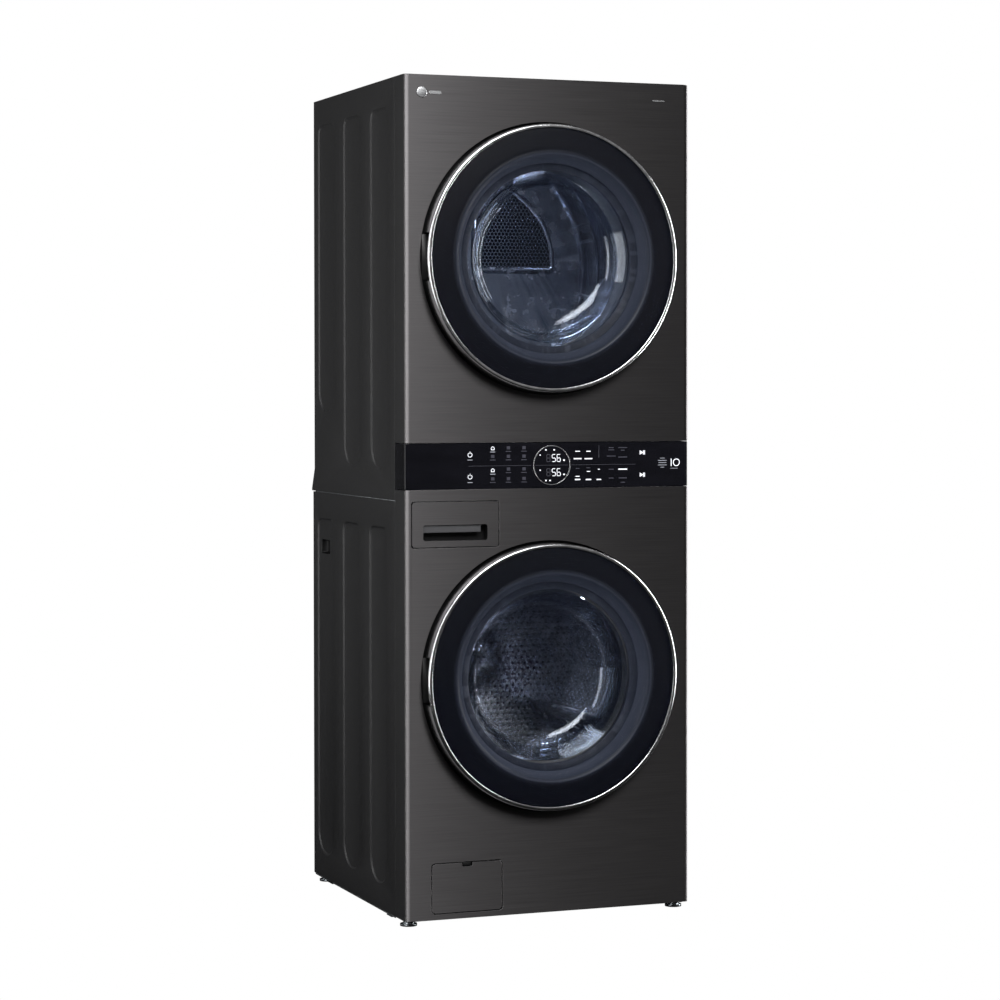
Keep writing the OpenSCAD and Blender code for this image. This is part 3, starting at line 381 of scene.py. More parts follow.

# %% [markdown]
# ## Glass
# A door has a tinted outer pane and a clear bowl behind it. Both are thin next to what they show, so
# the finish lets part of the light straight through instead of bending it.

# %% Glass
tinted_glass = finish("door_glass_tinted", "#0c0f18", 0.03, Alpha=0.22, Specular_IOR_Level=0.4)
bowl_glass = finish("bowl_glass_clear", "#dfe6f0", 0.03, 1.0, Alpha=0.08)
tree = bowl_glass.node_tree
grazing = node(tree, "ShaderNodeLayerWeight", values={"Blend": 0.25})
mirror = node(tree, "ShaderNodeMapRange", {"Value": grazing.outputs["Fresnel"]},
              {"To Min": 0.06, "To Max": 0.75})
tree.links.new(mirror.outputs["Result"], tree.nodes["Principled BSDF"].inputs["Alpha"])
for glass in (tinted_glass, bowl_glass):
    blotches(glass, (120, 120, 120), rough=(0.02, 0.05))
print("glass ready")

# %% [markdown]
# ## Stainless drums
# Drum shells are thin stainless sheet, pierced with 3 mm holes and pressed with shallow cushions. The
# pattern is worked out from the angle round the drum and the depth, so it wraps without a seam when the
# count round the drum is a whole number. Two square grids, one shifted by half a cell, make a staggered
# one.

# %% Drum steel


STAGGER = 1.732                                  # row spacing of a triangular grid, from root three


def scaled(tree, value, factor):
    return node(tree, "ShaderNodeMath", {0: value}, {1: factor}, operation="MULTIPLY").outputs[0]


def staggered(tree, across, along):
    """Distance to the nearest point of a staggered grid, for coordinates counted in cells."""
    pair = node(tree, "ShaderNodeCombineXYZ", {"X": across, "Y": along})
    reach = []
    for shift in (0.0, 0.5):
        moved = node(tree, "ShaderNodeVectorMath", {0: pair.outputs[0]}, {1: (shift, shift, 0)})
        inside = node(tree, "ShaderNodeVectorMath", {0: moved.outputs[0]}, operation="FRACTION")
        middle = node(tree, "ShaderNodeVectorMath", {0: inside.outputs[0]}, {1: (0.5, 0.5, 0)},
                      operation="SUBTRACT")
        shaped = node(tree, "ShaderNodeVectorMath", {0: middle.outputs[0]}, {1: (1.0, STAGGER, 0)},
                      operation="MULTIPLY")
        reach.append(node(tree, "ShaderNodeVectorMath", {0: shaped.outputs[0]}, operation="LENGTH"))
    return node(tree, "ShaderNodeMath", {0: reach[0].outputs["Value"], 1: reach[1].outputs["Value"]},
                operation="MINIMUM").outputs[0]


def drum_finish(name, centre, count, pitch, hole, cushion, colour, rough):
    material = finish(name, colour, rough, 1.0)
    tree = material.node_tree
    shader = tree.nodes["Principled BSDF"]
    xyz = node(tree, "ShaderNodeSeparateXYZ", {0: object_place(tree, Location=(0, 0, -centre * MM))})
    angle = node(tree, "ShaderNodeMath", {0: xyz.outputs["X"], 1: xyz.outputs["Z"]}, operation="ARCTAN2")
    row = 1 / (pitch * STAGGER * MM)
    round_wall = staggered(tree, scaled(tree, angle.outputs[0], count / math.tau),
                           scaled(tree, xyz.outputs["Y"], row))
    rear_wall = staggered(tree, scaled(tree, xyz.outputs["X"], 1 / (pitch * MM)),
                          scaled(tree, xyz.outputs["Z"], row))
    normal = node(tree, "ShaderNodeNewGeometry").outputs["True Normal"]
    facing = node(tree, "ShaderNodeSeparateXYZ", {0: normal})
    turned = node(tree, "ShaderNodeMath", {0: facing.outputs["Y"]}, operation="ABSOLUTE")
    is_rear = node(tree, "ShaderNodeMath", {0: turned.outputs[0]}, {1: 0.8}, operation="GREATER_THAN")
    chosen = node(tree, "ShaderNodeMix", {0: is_rear.outputs[0], 2: round_wall, 3: rear_wall})
    reach = chosen.outputs[0]
    pierced = node(tree, "ShaderNodeMapRange", {"Value": reach},
                   {"From Min": hole - 0.04, "From Max": hole + 0.04})
    height = node(tree, "ShaderNodeMath", {0: is_rear.outputs[0]}, {1: -cushion * 0.7, 2: cushion},
                  operation="MULTIPLY_ADD")
    raised = node(tree, "ShaderNodeMapRange", {"Value": reach, "To Min": height.outputs[0]},
                  {"From Min": 0.0, "From Max": 0.5, "To Max": 0.0}, interpolation_type="SMOOTHSTEP")
    # The holes are painted near black: painted shade for the dark space behind the sheet.
    tint = node(tree, "ShaderNodeMix", {0: pierced.outputs[0]}, data_type="RGBA")
    tint.inputs[6].default_value = linear("#08090a")
    tint.inputs[7].default_value = linear(colour)
    tree.links.new(tint.outputs[2], shader.inputs["Base Color"])
    bump = node(tree, "ShaderNodeBump", {"Height": raised.outputs[0]},
                {"Distance": 1 * MM, "Strength": 1.0})
    tree.links.new(bump.outputs["Normal"], shader.inputs["Normal"])
    blotches(material, (20, 20, 20), rough=(rough - 0.05, rough + 0.06), relief=0.05)
    return material


washer_steel = drum_finish("washer_drum_stainless_pierced", WASHER, 110, 16, 0.16, 2.0, "#a9adb3", 0.2)
dryer_steel = finish("dryer_drum_stainless_rolled", "#9aa1ac", 0.2, 1.0)
blotches(dryer_steel, (900, 7, 900), ("#8f96a1", "#a8afba"), (0.14, 0.26), 0.35, detail=2.0)
plain_steel = finish("vane_stainless_satin", "#a5abb5", 0.24, 1.0)
blotches(plain_steel, (30, 90, 30), ("#9ca2ac", "#afb5bf"), (0.2, 0.3), 0.03)
print("drum steel ready")

# %% [markdown]
# ## The folded fronts
# Each front is one sheet that wraps round the cabinet's corners. The flat field is filled between its
# border and the holes for door, drawer and filter flap. Its two upright edges are then spun twice, first
# through a wide gentle roll and then round a tight lip, and pulled back, and a wall is given last. The
# gentle roll is what makes the light brighten slowly towards the corner.

# %% Folded front


def folded_front(name, z, holes, part, material, wall, body="cabinet"):
    bm = bmesh.new()
    flat = HALF - EDGE
    edges = plate_outline(bm, (-flat, flat), z, 0, 0)
    for kind, size in holes:
        edges += circle(bm, *size) if kind == "round" else plate_outline(bm, *size)
    bmesh.ops.triangle_fill(bm, use_beauty=True, use_dissolve=False, edges=edges)
    for side in (-1, 1):
        line = [e for e in bm.edges if all(abs(v.co.x - side * flat) < 0.01 for v in e.verts)]
        inner = (side * (flat + (ROLL - LIP) * math.sin(TURN)),
                 ROLL - (ROLL - LIP) * math.cos(TURN))
        for centre, turn, steps in (((side * flat, ROLL), TURN, 6), (inner, math.pi / 2 - TURN, 7)):
            bent = bmesh.ops.spin(bm, geom=line + [v for e in line for v in e.verts], cent=at(*centre, 0),
                                  axis=(0, 0, 1), angle=turn * side, steps=steps, use_merge=False)
            line = [g for g in bent["geom_last"] if isinstance(g, bmesh.types.BMEdge)]
        pulled = bmesh.ops.extrude_edge_only(bm, edges=line)
        ends = [g for g in pulled["geom"] if isinstance(g, bmesh.types.BMVert)]
        bmesh.ops.translate(bm, verts=ends, vec=(0, WRAP - inner[1], 0))
    bmesh.ops.remove_doubles(bm, verts=bm.verts[:], dist=0.001)
    bmesh.ops.recalc_face_normals(bm, faces=bm.faces[:])
    facing = max(bm.faces, key=lambda f: f.calc_area())
    if facing.normal.y > 0:
        bmesh.ops.reverse_faces(bm, faces=bm.faces[:])
    piece = put(bm, name, body, material, (part,), wall=wall, soft=0.9)
    piece.data.materials.append(side_paint if material is black_steel else material)
    for face in piece.data.polygons:
        face.use_smooth = abs(face.normal.y) < 0.9999
        face.material_index = 1 if abs(face.normal.x) > 0.999 else 0
    across = [v.co.x / MM for v in piece.data.vertices]
    print(name, "faces", len(piece.data.polygons), "x", round(min(across), 1), round(max(across), 1))


drawer_x, drawer_z = span("drawer_front", 0), span("drawer_front", 2)
cover_x, cover_z = span("filter_cover", 0), span("filter_cover", 2)
gap = 2.2


def wider(limits):
    return limits[0] - gap, limits[1] + gap


def door_hole(centre):
    return "round", (0, centre, 0, DOOR_R + 6, 160)


washer_holes = [door_hole(WASHER), ("plate", (wider(drawer_x), wider(drawer_z), 0, 7)),
                ("plate", (wider(cover_x), wider(cover_z), 0, 9))]
folded_front("washer_front", span("washer_front_panel", 2), washer_holes, "washer_front_panel",
             black_steel, 1.2)
folded_front("dryer_front", span("dryer_front_panel", 2), [door_hole(DRYER)],
             "dryer_front_panel", black_steel, 1.2)
folded_front("control_panel", span("control_fascia", 2), [], "control_fascia",
             gloss_black, 2.5)

# %% [markdown]
# ## The pressed sides
# A side is flat sheet with three upright ribs pressed inwards. Each rib is an outline with two small
# round corners on top and a half circle at its foot; three insets of growing depth turn it into a
# pressing with rolled shoulders. The rear lower rib has a slot to hold the machine by, with a moulded
# cup behind it.

# %% Pressed side
RIB_W, RIB_PRESS = 129, 3


def grip_corners(grip):
    (d0, d1), (z0, z1) = grip
    return (d0, z0), (d1, z0), (d1, z1), (d0, z1)


def pressed_side(name, side, part, corners, ribs, grip=None):
    bm = bmesh.new()
    x = side * HALF
    edges = outline(bm, [at(x, d, z) for d, z in corners], [0] * len(corners))
    rim = list(edges)
    fields = []
    for d, low, high in ribs:
        r = RIB_W / 2
        shape = [at(x, d - r, low), at(x, d + r, low), at(x, d + r, high), at(x, d - r, high)]
        face = outline(bm, shape, [r - 4, r - 4, 26, 26], steps=12, fill=True)[0]
        edges += list(face.edges)
        fields.append(face)
    bmesh.ops.triangle_fill(bm, use_beauty=True, use_dissolve=False, edges=edges)
    bm.normal_update()
    for face in fields:
        if face.normal.x * side < 0:
            face.normal_flip()
            face.normal_update()
        for width, depth in ((1.6, 0.35), (2.4, 2.3), (1.6, 0.35)):
            bmesh.ops.inset_individual(bm, faces=[face], thickness=width, depth=-depth,
                                       use_even_offset=True)
    if grip:
        last = fields[-1]
        loop = list(last.edges)
        bmesh.ops.delete(bm, geom=[last], context="FACES_ONLY")
        deep = x - side * RIB_PRESS
        shape = [Vector((deep, FRONT + d, z)) for d, z in grip_corners(grip)]
        loop += outline(bm, shape, [5, 5, 5, 5], steps=4)
        bmesh.ops.triangle_fill(bm, use_beauty=True, use_dissolve=False, edges=loop)
    folded = bmesh.ops.extrude_edge_only(bm, edges=[e for e in rim if e.is_valid])
    ends = [g for g in folded["geom"] if isinstance(g, bmesh.types.BMVert)]
    bmesh.ops.translate(bm, verts=ends, vec=(-side * 11, 0, 0))
    bmesh.ops.remove_doubles(bm, verts=bm.verts[:], dist=0.001)
    bmesh.ops.recalc_face_normals(bm, faces=bm.faces[:])
    facing = max(bm.faces, key=lambda f: f.calc_area())
    if facing.normal.x * side < 0:
        bmesh.ops.reverse_faces(bm, faces=bm.faces[:])
    return put(bm, name, "cabinet", side_paint, (part,), wall=1.1, soft=0.5)


def side_corners(part, flare):
    (z0, z1), (d0, d1) = span(part, 2), span(part, 1)
    d0, d1 = d0 - FRONT, d1 - FRONT
    if not flare:
        return [(d0, z0), (d1, z0), (d1, z1), (d0, z1)]
    return [(d0, z0), (d1, z0), (d1, z0 + 6), (d1 - flare, z0 + 54), (d1 - flare, z1), (d0, z1)]


low0, low1 = span("washer_side_left", 2)
top0, top1 = span("dryer_side_left", 2)
low_ribs = [(187 + 200 * i, low0 + 56, low1 - 61) for i in range(3)]
top_ribs = [(176 + 200 * i, top0 + (190 if i == 2 else 65), top1 - 58.8) for i in range(3)]
grip = ((561, 625), (low_ribs[2][2] - 86, low_ribs[2][2] - 52))
for side, word in ((-1, "left"), (1, "right")):
    pressed_side("washer_side_" + word + "_sheet", side, "washer_side_" + word,
                 side_corners("washer_side_" + word, 0), low_ribs, grip)
    pressed_side("dryer_side_" + word + "_sheet", side, "dryer_side_" + word,
                 side_corners("dryer_side_" + word, 22), top_ribs)
    bm = bmesh.new()
    deep = side * (HALF - RIB_PRESS - 1.4)
    shape = [Vector((deep, FRONT + d, z)) for d, z in grip_corners(grip)]
    rim = outline(bm, shape, [5] * 4, steps=4)
    walls = bmesh.ops.extrude_edge_only(bm, edges=rim)
    ends = [g for g in walls["geom"] if isinstance(g, bmesh.types.BMVert)]
    bmesh.ops.translate(bm, verts=ends, vec=(-side * 26, 0, 0))
    mouth = [g for g in walls["geom"] if isinstance(g, bmesh.types.BMEdge)]
    bmesh.ops.contextual_create(bm, geom=mouth)
    put(bm, "hand_hold_cup_" + word, "cabinet", black_plastic_and_painted_shade, wall=1.5, outward=True)
print("four sides")

# %% [markdown]
# ## Drawer and filter flap
# Both carry a skin of the same brushed steel. The drawer's slot is a pocket in a black moulding, with a
# grey grip bar across its upper half that the fingers pull on. The moulding's near black is partly
# painted shade, standing in for the dark inside of the slot.

# %% Drawer front
slot_w, slot_h = 152, 35
slot_x = (sum(drawer_x) / 2 - slot_w / 2, sum(drawer_x) / 2 + slot_w / 2)
slot_z = (drawer_z[0] + 14, drawer_z[0] + 14 + slot_h)
bm = bmesh.new()
edges = plate_outline(bm, drawer_x, drawer_z, 1.3, 6) + plate_outline(bm, slot_x, slot_z, 1.3, 5)
bmesh.ops.triangle_fill(bm, use_beauty=True, use_dissolve=False, edges=edges)
push(bm, bm.faces[:], (0, -1.3, 0))
put(bm, "drawer_skin", "detergent_drawer", drawer_steel, ("drawer_front",), soft=1.1,
    outward=True, segments=3)
bm = bmesh.new()
inner = ((drawer_x[0] + 1, drawer_x[1] - 1), (drawer_z[0] + 1, drawer_z[1] - 1))
edges = plate_outline(bm, *inner, 24, 5) + plate_outline(bm, slot_x, slot_z, 24, 5)
bmesh.ops.triangle_fill(bm, use_beauty=True, use_dissolve=False, edges=edges)
push(bm, bm.faces[:], (0, -22.6, 0))
backing = plate_outline(bm, *inner, 27.5, 5, fill=True)
push(bm, backing, (0, -3.4, 0))
put(bm, "drawer_moulding", "detergent_drawer", black_plastic_and_painted_shade, soft=0.4, outward=True)
bm = bmesh.new()
box(bm, (slot_x[0] + 1, slot_x[1] - 14), (5, 9), (slot_z[1] - 17, slot_z[1] - 0.5), 1.2)
put(bm, "drawer_grip", "detergent_drawer", grip_plastic, outward=True)

# %% Filter flap
bm = bmesh.new()
notch = (sum(cover_x) / 2 - 12, sum(cover_x) / 2 + 12)
SKIN, NOTCH_DEEP = 1.4, 9
low, high = cover_z
base = [at(x, SKIN, z) for x, z in (
    (cover_x[0], low), (cover_x[1], low), (cover_x[1], high), (notch[1], high), (notch[1], high - NOTCH_DEEP),
    (notch[0], high - NOTCH_DEEP), (notch[0], high), (cover_x[0], high))]
push(bm, outline(bm, base, [8, 8, 8, 1, 4, 4, 1, 8], steps=6, fill=True), (0, -SKIN, 0))
put(bm, "filter_flap_skin", "filter_cover", black_steel, ("filter_cover",), soft=0.6,
    outward=True, segments=3)
bm = bmesh.new()
box(bm, (notch[0] + 1.5, notch[1] - 1.5), (1.6, 4), (cover_z[1] - 8, cover_z[1] + 0.2), 0.6)
box(bm, (cover_x[0] + 8, cover_x[1] - 8), (1.5, 2.8), (cover_z[0] + 8, cover_z[1] - 12), 0.5)
barrel = Matrix.Translation(at(sum(cover_x) / 2, 2.4, cover_z[0] + 3.2)) @ Matrix.Rotation(
    math.radians(90), 4, "Y")
bmesh.ops.create_cone(bm, cap_ends=True, segments=24, radius1=2.1, radius2=2.1,
                      depth=cover_x[1] - cover_x[0] - 12, matrix=barrel)
put(bm, "filter_flap_moulding", "filter_cover", black_plastic_and_painted_shade, soft=0.3, outward=True)
print("drawer and flap")

# %% [markdown]
# ## Marks on the touch panel
# The panel shows two rows of controls, the upper for the dryer and the lower for the washer, round one
# dial with the minutes left. All marks are thin plates standing a tenth of a millimetre proud: lit ones
# in white ink, resting ones in a dark grey. Words are drawn as plain bars.

# %% Dial and digits
PANEL = sum(span("control_fascia", 2)) / 2
DIAL = 6.4
PROUD, SUNK = 0.12, 0.3


def mark(bm, x, z, width, height):
    middle = PANEL + z
    box(bm, (x - width / 2, x + width / 2), (-PROUD, SUNK), (middle - height / 2, middle + height / 2))


bm = bmesh.new()
hoop = [(43, 0.2), (43, -0.25), (43.3, -0.4), (44.4, -0.4), (44.7, -0.25), (44.7, 0.2)]
revolve(bm, hoop, DIAL, PANEL, 96)
put(bm, "dial_ring", "cabinet", badge_metal, outward=True)

SEGMENTS = {"5": "afgcd", "6": "afgcde"}


def digit(bm, x, z, shown, width=8, height=16, stroke=1.3):
    places = {"a": (0, height / 2, 1), "g": (0, 0, 1), "d": (0, -height / 2, 1),
              "f": (-width / 2, height / 4, 0), "b": (width / 2, height / 4, 0),
              "e": (-width / 2, -height / 4, 0), "c": (width / 2, -height / 4, 0)}
    for name in shown:
        dx, dz, flat = places[name]
        size = (width - 1.2, stroke) if flat else (stroke, height / 2 - 1.2)
        mark(bm, x + dx, z + dz, *size)


lit, grey, dim = bmesh.new(), bmesh.new(), bmesh.new()
for z in (16, -16):
    digit(lit, DIAL + 5, z, SEGMENTS["5"])
    digit(lit, DIAL + 17, z, SEGMENTS["6"])
    digit(dim, DIAL - 8, z, "abcdefg")
    mark(lit, DIAL - 28, z + (7 if z > 0 else 5), 2.6, 2.6)
    mark(lit, DIAL + 30, z - 5, 4, 3)
    mark(lit, DIAL - 14, z * 2.15, 3.6, 2.8)
    mark(lit, DIAL + 6 if z > 0 else DIAL - 4, z * 2.15, 3.6, 2.8)
mark(dim, DIAL, 0, 80, 0.7)
mark(dim, -118, 0, 150, 0.7)
mark(dim, 133, 0, 158, 0.7)

# %% Touch marks


POWER_GAP, POWER_TURN = 70, -55


def power_mark(bm, x, z):
    start = bm.verts.new(at(x + 4.2, -PROUD, PANEL + z))
    end = bm.verts.new(at(x + 5.4, -PROUD, PANEL + z))
    line = bm.edges.new((start, end))
    turned = bmesh.ops.spin(bm, geom=[start, end, line], cent=at(x, 0, PANEL + z), axis=(0, 1, 0),
                            angle=math.radians(360 - POWER_GAP), steps=24, use_merge=False)
    arc = {f for g in turned["geom_last"] if isinstance(g, bmesh.types.BMVert) for f in g.link_faces}
    linked = set(arc)
    while arc:
        arc = {g for f in arc for e in f.edges for g in e.link_faces} - linked
        linked |= arc
    bmesh.ops.rotate(bm, verts=list({v for f in linked for v in f.verts}), cent=at(x, 0, PANEL + z),
                     matrix=Matrix.Rotation(math.radians(POWER_TURN), 3, "Y"))
    push(bm, list(linked), (0, 0.4, 0))
    mark(bm, x, z + 4.6, 1.2, 5)


for z, label in ((25, 13.6), (-24, -36.6)):
    power_mark(lit, -189.6, z)
    mark(grey, -189.6, label, 12, 1.4)
for z, label in ((39, 31), (-10, -18.6)):
    for dx, dz, w, h in ((0, 3.6, 3, 1.6), (0, -3.2, 8, 1.6), (-3.6, -0.4, 1.4, 5), (3.6, -0.4, 1.4, 5),
                         (-2.2, 2.4, 2, 1.4), (2.2, 2.4, 2, 1.4)):
        mark(lit, -135.5 + dx, z + dz, w, h * 0.8)
    mark(grey, -135.5, label, 12, 1.6)
for x in (-135.5, -97.9, -60.5):
    for z in (38, 19, -9.5, -31):
        if x == -135.5 and z in (38, -9.5):
            continue
        mark(dim, x, z + 2, 8, 7)
        mark(dim, x, z - 6, 13, 1.8)
TIME, TEMPERATURE, SPIN, EXTRA, REMOTE = 69.4, 96, 121.5, 152, 180.4        # columns right of the dial
words = {
    TIME: ((30.7, 12, 1.6), (14, 19, 2.4), (-25.9, 10, 1.6), (-33.1, 13, 2.6)),
    TEMPERATURE: ((30.4, 10, 1.8), (13.7, 19, 2.4), (-15.2, 8, 1.6), (-33.4, 13, 2.6)),
    SPIN: ((-10.6, 5, 1.4), (-33.7, 11, 2.4)),
    REMOTE: ((-11, 22, 2.4),),
}
resting_words = {
    TIME: ((-8, 9, 1.6),),
    TEMPERATURE: ((-7, 9, 1.6),),
    SPIN: ((30, 1, 28),),
    EXTRA: ((38, 12, 2), (33, 14, 2), (19, 22, 2), (-11, 12, 2), (-31, 12, 2)),
    REMOTE: ((38, 22, 2), (32, 9, 2), (16.5, 22, 2.4), (-31, 20, 2.4), (-41, 10, 2)),
}
for ink, columns in ((lit, words), (dim, resting_words)):
    for x, bars in columns.items():
        for bar in bars:
            mark(ink, x, *bar)
for z in (26.5, -24.4):
    tip = bmesh.ops.create_circle(lit, cap_ends=True, segments=3, radius=5.6, matrix=Matrix.Translation(
        at(225.5, 0.3, PANEL + z)) @ Matrix.Rotation(math.radians(90), 4, "X") @ Matrix.Rotation(
        math.radians(-90), 4, "Z"))
    push(lit, list({f for v in tip["verts"] for f in v.link_faces}), (0, -0.42, 0))
    mark(lit, 231.6, z, 1.5, 9.6)
    mark(lit, 234.6, z, 1.5, 9.6)
for row, width in enumerate((12, 22, 20, 22, 9)):
    mark(grey, 279, 13 - 5.2 * row, width, 1.3)
mark(lit, 301, 3, 1.7, 17)
revolve(lit, [(6.9, 0.3), (6.9, -0.12), (8.5, -0.12), (8.5, 0.3)], 314, PANEL + 3, 32)
mark(grey, 308, -10.5, 18, 1.0)
put(grey, "touch_marks_grey", "cabinet", print_grey, outward=True)
lit_marks = put(lit, "touch_marks_lit", "cabinet", print_white, outward=True)
dim_marks = put(dim, "touch_marks_resting", "cabinet", print_dim, outward=True)
print("marks", len(lit_marks.data.polygons), len(dim_marks.data.polygons))

# %% [markdown]
# ## Badge
# The makers' signs are left out. A plain satin disc with a bar takes the place of one, and a short bar the
# place of the other.

# %% Badges
top_edge = span("dryer_front_panel", 2)[1]
bm = bmesh.new()
disc = [(0.01, -0.9), (10.6, -0.9), (11.6, -0.5), (12.0, 0.2), (0.01, 0.2)]
revolve(bm, disc, -301.5, top_edge - 38, 48, closed=False)
put(bm, "badge_disc", "cabinet", badge_metal, outward=True)
for name, x, z in (("badge_bar", (-285, -256), (-41.5, -34.5)),
                   ("badge_bar_small", (255, 283), (-40, -36.8))):
    bm = bmesh.new()
    size = [top_edge + v for v in z]
    push(bm, plate_outline(bm, x, size, 0, (size[1] - size[0]) * 0.45, fill=True), (0, -0.9, 0))
    put(bm, name, "cabinet", badge_metal, soft=0.25, outward=True)

# %% [markdown]
# ## Door frames
# Behind each pane sits a black frame. Its outer part carries the printed border that follows the dome
# of the glass; further in, it falls away as a funnel to the bowl, and there the print fades to a blue
# grey, a painted glow that stands in for the hazy light seen through the clear glass. The whole frame
# is one spun profile, with a pocket cut on the left for the hinge.

# %% Printed frame
GLASS_R, RISE, RIM_OUT = DOOR_R - 9, 14, 36
SPHERE = (GLASS_R ** 2 + RISE ** 2) / (2 * RISE)
# Inside the inner radius the frame is painted blue grey: a painted glow for the hazy light seen through the
# clear glass.
PAINTED_GLOW_EDGE, PRINT_BLACK = 0.200, 0.244          # radii in metres between which the print thickens


def dome(radius, back=0.0):
    return -RIM_OUT - RISE + back + SPHERE - math.sqrt(SPHERE ** 2 - radius ** 2)


def printed_frame_with_painted_glow(name, centre):
    material = finish(name, "#0b0b0f", 0.35, Specular_IOR_Level=0.2)
    tree = material.node_tree
    place = object_place(tree, Location=(0, 0, -centre * MM), Scale=(1, 0, 1))
    reach = node(tree, "ShaderNodeVectorMath", {0: place}, operation="LENGTH")
    fade = node(tree, "ShaderNodeMapRange", {"Value": reach.outputs["Value"]},
                {"From Min": PAINTED_GLOW_EDGE, "From Max": PRINT_BLACK})
    ramp = node(tree, "ShaderNodeValToRGB", {"Fac": fade.outputs[0]})
    # The blue greys are a painted glow, the light seen through the clear glass; only the black is print.
    ramp.color_ramp.elements[0].color = linear("#4d5362")
    ramp.color_ramp.elements[1].color = linear("#050508")
    middle = ramp.color_ramp.elements.new(0.55)
    middle.color = linear("#363b48")
    tree.links.new(ramp.outputs["Color"], tree.nodes["Principled BSDF"].inputs["Base Color"])
    blotches(material, (2, 2, 2), rough=(0.36, 0.44))
    return material


def cut(piece, x, d, z):
    """Takes a box-shaped bite out of a piece."""
    bm = bmesh.new()
    box(bm, x, d, z)
    bmesh.ops.scale(bm, vec=(MM, MM, MM), verts=bm.verts[:])
    bite = bpy.data.objects.new("bite", bpy.data.meshes.new("bite"))
    bm.to_mesh(bite.data)
    bm.free()
    bpy.context.scene.collection.objects.link(bite)
    boolean = piece.modifiers.new("bite", "BOOLEAN")
    boolean.operation, boolean.solver, boolean.object = "DIFFERENCE", "EXACT", bite
    piece.modifiers.move(len(piece.modifiers) - 1, 0)
    order = {m: m.show_viewport for m in piece.modifiers if m.type != "BOOLEAN"}
    for m in order:
        m.show_viewport = False
    graph = bpy.context.evaluated_depsgraph_get()
    shaped = bpy.data.meshes.new_from_object(piece.evaluated_get(graph))
    piece.modifiers.remove(boolean)
    for m, shown in order.items():
        m.show_viewport = shown
    piece.data = shaped
    bpy.data.objects.remove(bite)


for word, centre in (("washer", WASHER), ("dryer", DRYER)):
    bm = bmesh.new()
    face = [(r, dome(r, 4) + 0.3) for r in (290.5, 278, 265, 252, 243)]
    funnel = [(238, dome(238, 4) + 1.2), (233, -38.5), (226, -31), (219, -20.5), (214.5, -12.5),
              (213.5, -10)]
    rear = [(213.5, -6), (197, -6), (197, 4), (296.7, 4), (296.7, -31), (292, -31.2)]
    revolve(bm, face + funnel + rear, 0, centre, 180)
    piece = put(bm, word + "_door_ring", word + "_door", printed_frame_with_painted_glow(
        word + "_border_print_and_painted_glow", centre), (word + "_door_frame",), outward=True)
    pocket = ((-DOOR_R - 3, -DOOR_R + 42), (-31.5, 8), (centre - 54, centre + 54))
    cut(piece, *pocket)
    bm = bmesh.new()
    edge = [(DOOR_R - inward, d) for inward, d in (
        (0.4, 0), (0, -0.4), (0, -31), (0.5, -33.4), (1.8, -35.2), (3.8, -36), (7.6, -35.9), (8.8, -35.3),
        (9, -34.4), (9, -31.5), (3.2, -31.4), (3.2, 0))]
    revolve(bm, edge, 0, centre, 220)
    rim = put(bm, word + "_door_chrome", word + "_door", chrome_rim,
              (word + "_door_rim",), outward=True)
    rim.visible_glossy = False
    cut(rim, *pocket)
    print(piece.name, len(piece.data.polygons), rim.name, len(rim.data.polygons))

# %% [markdown]
# ## Inside the drums
# The dryer's rear wall carries a raised grille, pierced with a honeycomb, that the warm air enters
# through. Its rim is made from insets that climb and fall again.

# %% Grille
perforated = finish("grille_stainless_honeycomb", "#7f8792", 0.26, 1.0)
tree = perforated.node_tree
xyz = node(tree, "ShaderNodeSeparateXYZ", {0: node(tree, "ShaderNodeTexCoord").outputs["Object"]})
pitch = 9.5
reach = staggered(tree, scaled(tree, xyz.outputs["X"], 1 / (pitch * MM)),
                  scaled(tree, xyz.outputs["Z"], 1 / (pitch * STAGGER * MM)))
hole = node(tree, "ShaderNodeMapRange", {"Value": reach}, {"From Min": 0.36, "From Max": 0.44})
# The honeycomb holes are painted near black: painted shade for the dark duct behind the grille.
tint = node(tree, "ShaderNodeMix", {0: hole.outputs[0]}, data_type="RGBA")
tint.inputs[6].default_value = linear("#15181d")
tint.inputs[7].default_value = linear("#858d99")
tree.links.new(tint.outputs[2], tree.nodes["Principled BSDF"].inputs["Base Color"])
bump = node(tree, "ShaderNodeBump", {"Height": hole.outputs[0]}, {"Distance": 0.8 * MM, "Strength": 0.8})
tree.links.new(bump.outputs["Normal"], tree.nodes["Principled BSDF"].inputs["Normal"])

wall_d = span("dryer_drum", 1)[1] - FRONT + 4
bm = bmesh.new()
corners = [at(18, wall_d, DRYER - 12), at(240, wall_d, DRYER - 12), at(232, wall_d, DRYER + 90),
           at(165, wall_d, DRYER + 178), at(80, wall_d, DRYER + 222), at(18, wall_d, DRYER + 232)]
panel = outline(bm, corners, [22, 22, 44, 46, 28, 24], steps=8, fill=True)[0]
bm.normal_update()
if panel.normal.y > 0:
    panel.normal_flip()
    panel.normal_update()
for width, depth in ((2, 1), (3, 8), (2, 1.6), (5, 0), (1.5, -1.2), (1.5, -2.4)):
    bmesh.ops.inset_individual(bm, faces=[panel], thickness=width, depth=depth, use_even_offset=True)
inner = put(bm, "dryer_grille", "cabinet", plain_steel, wall=1.0)
inner.data.materials.append(perforated)
largest = max(inner.data.polygons, key=lambda p: p.area)
largest.material_index = 1
print("grille")
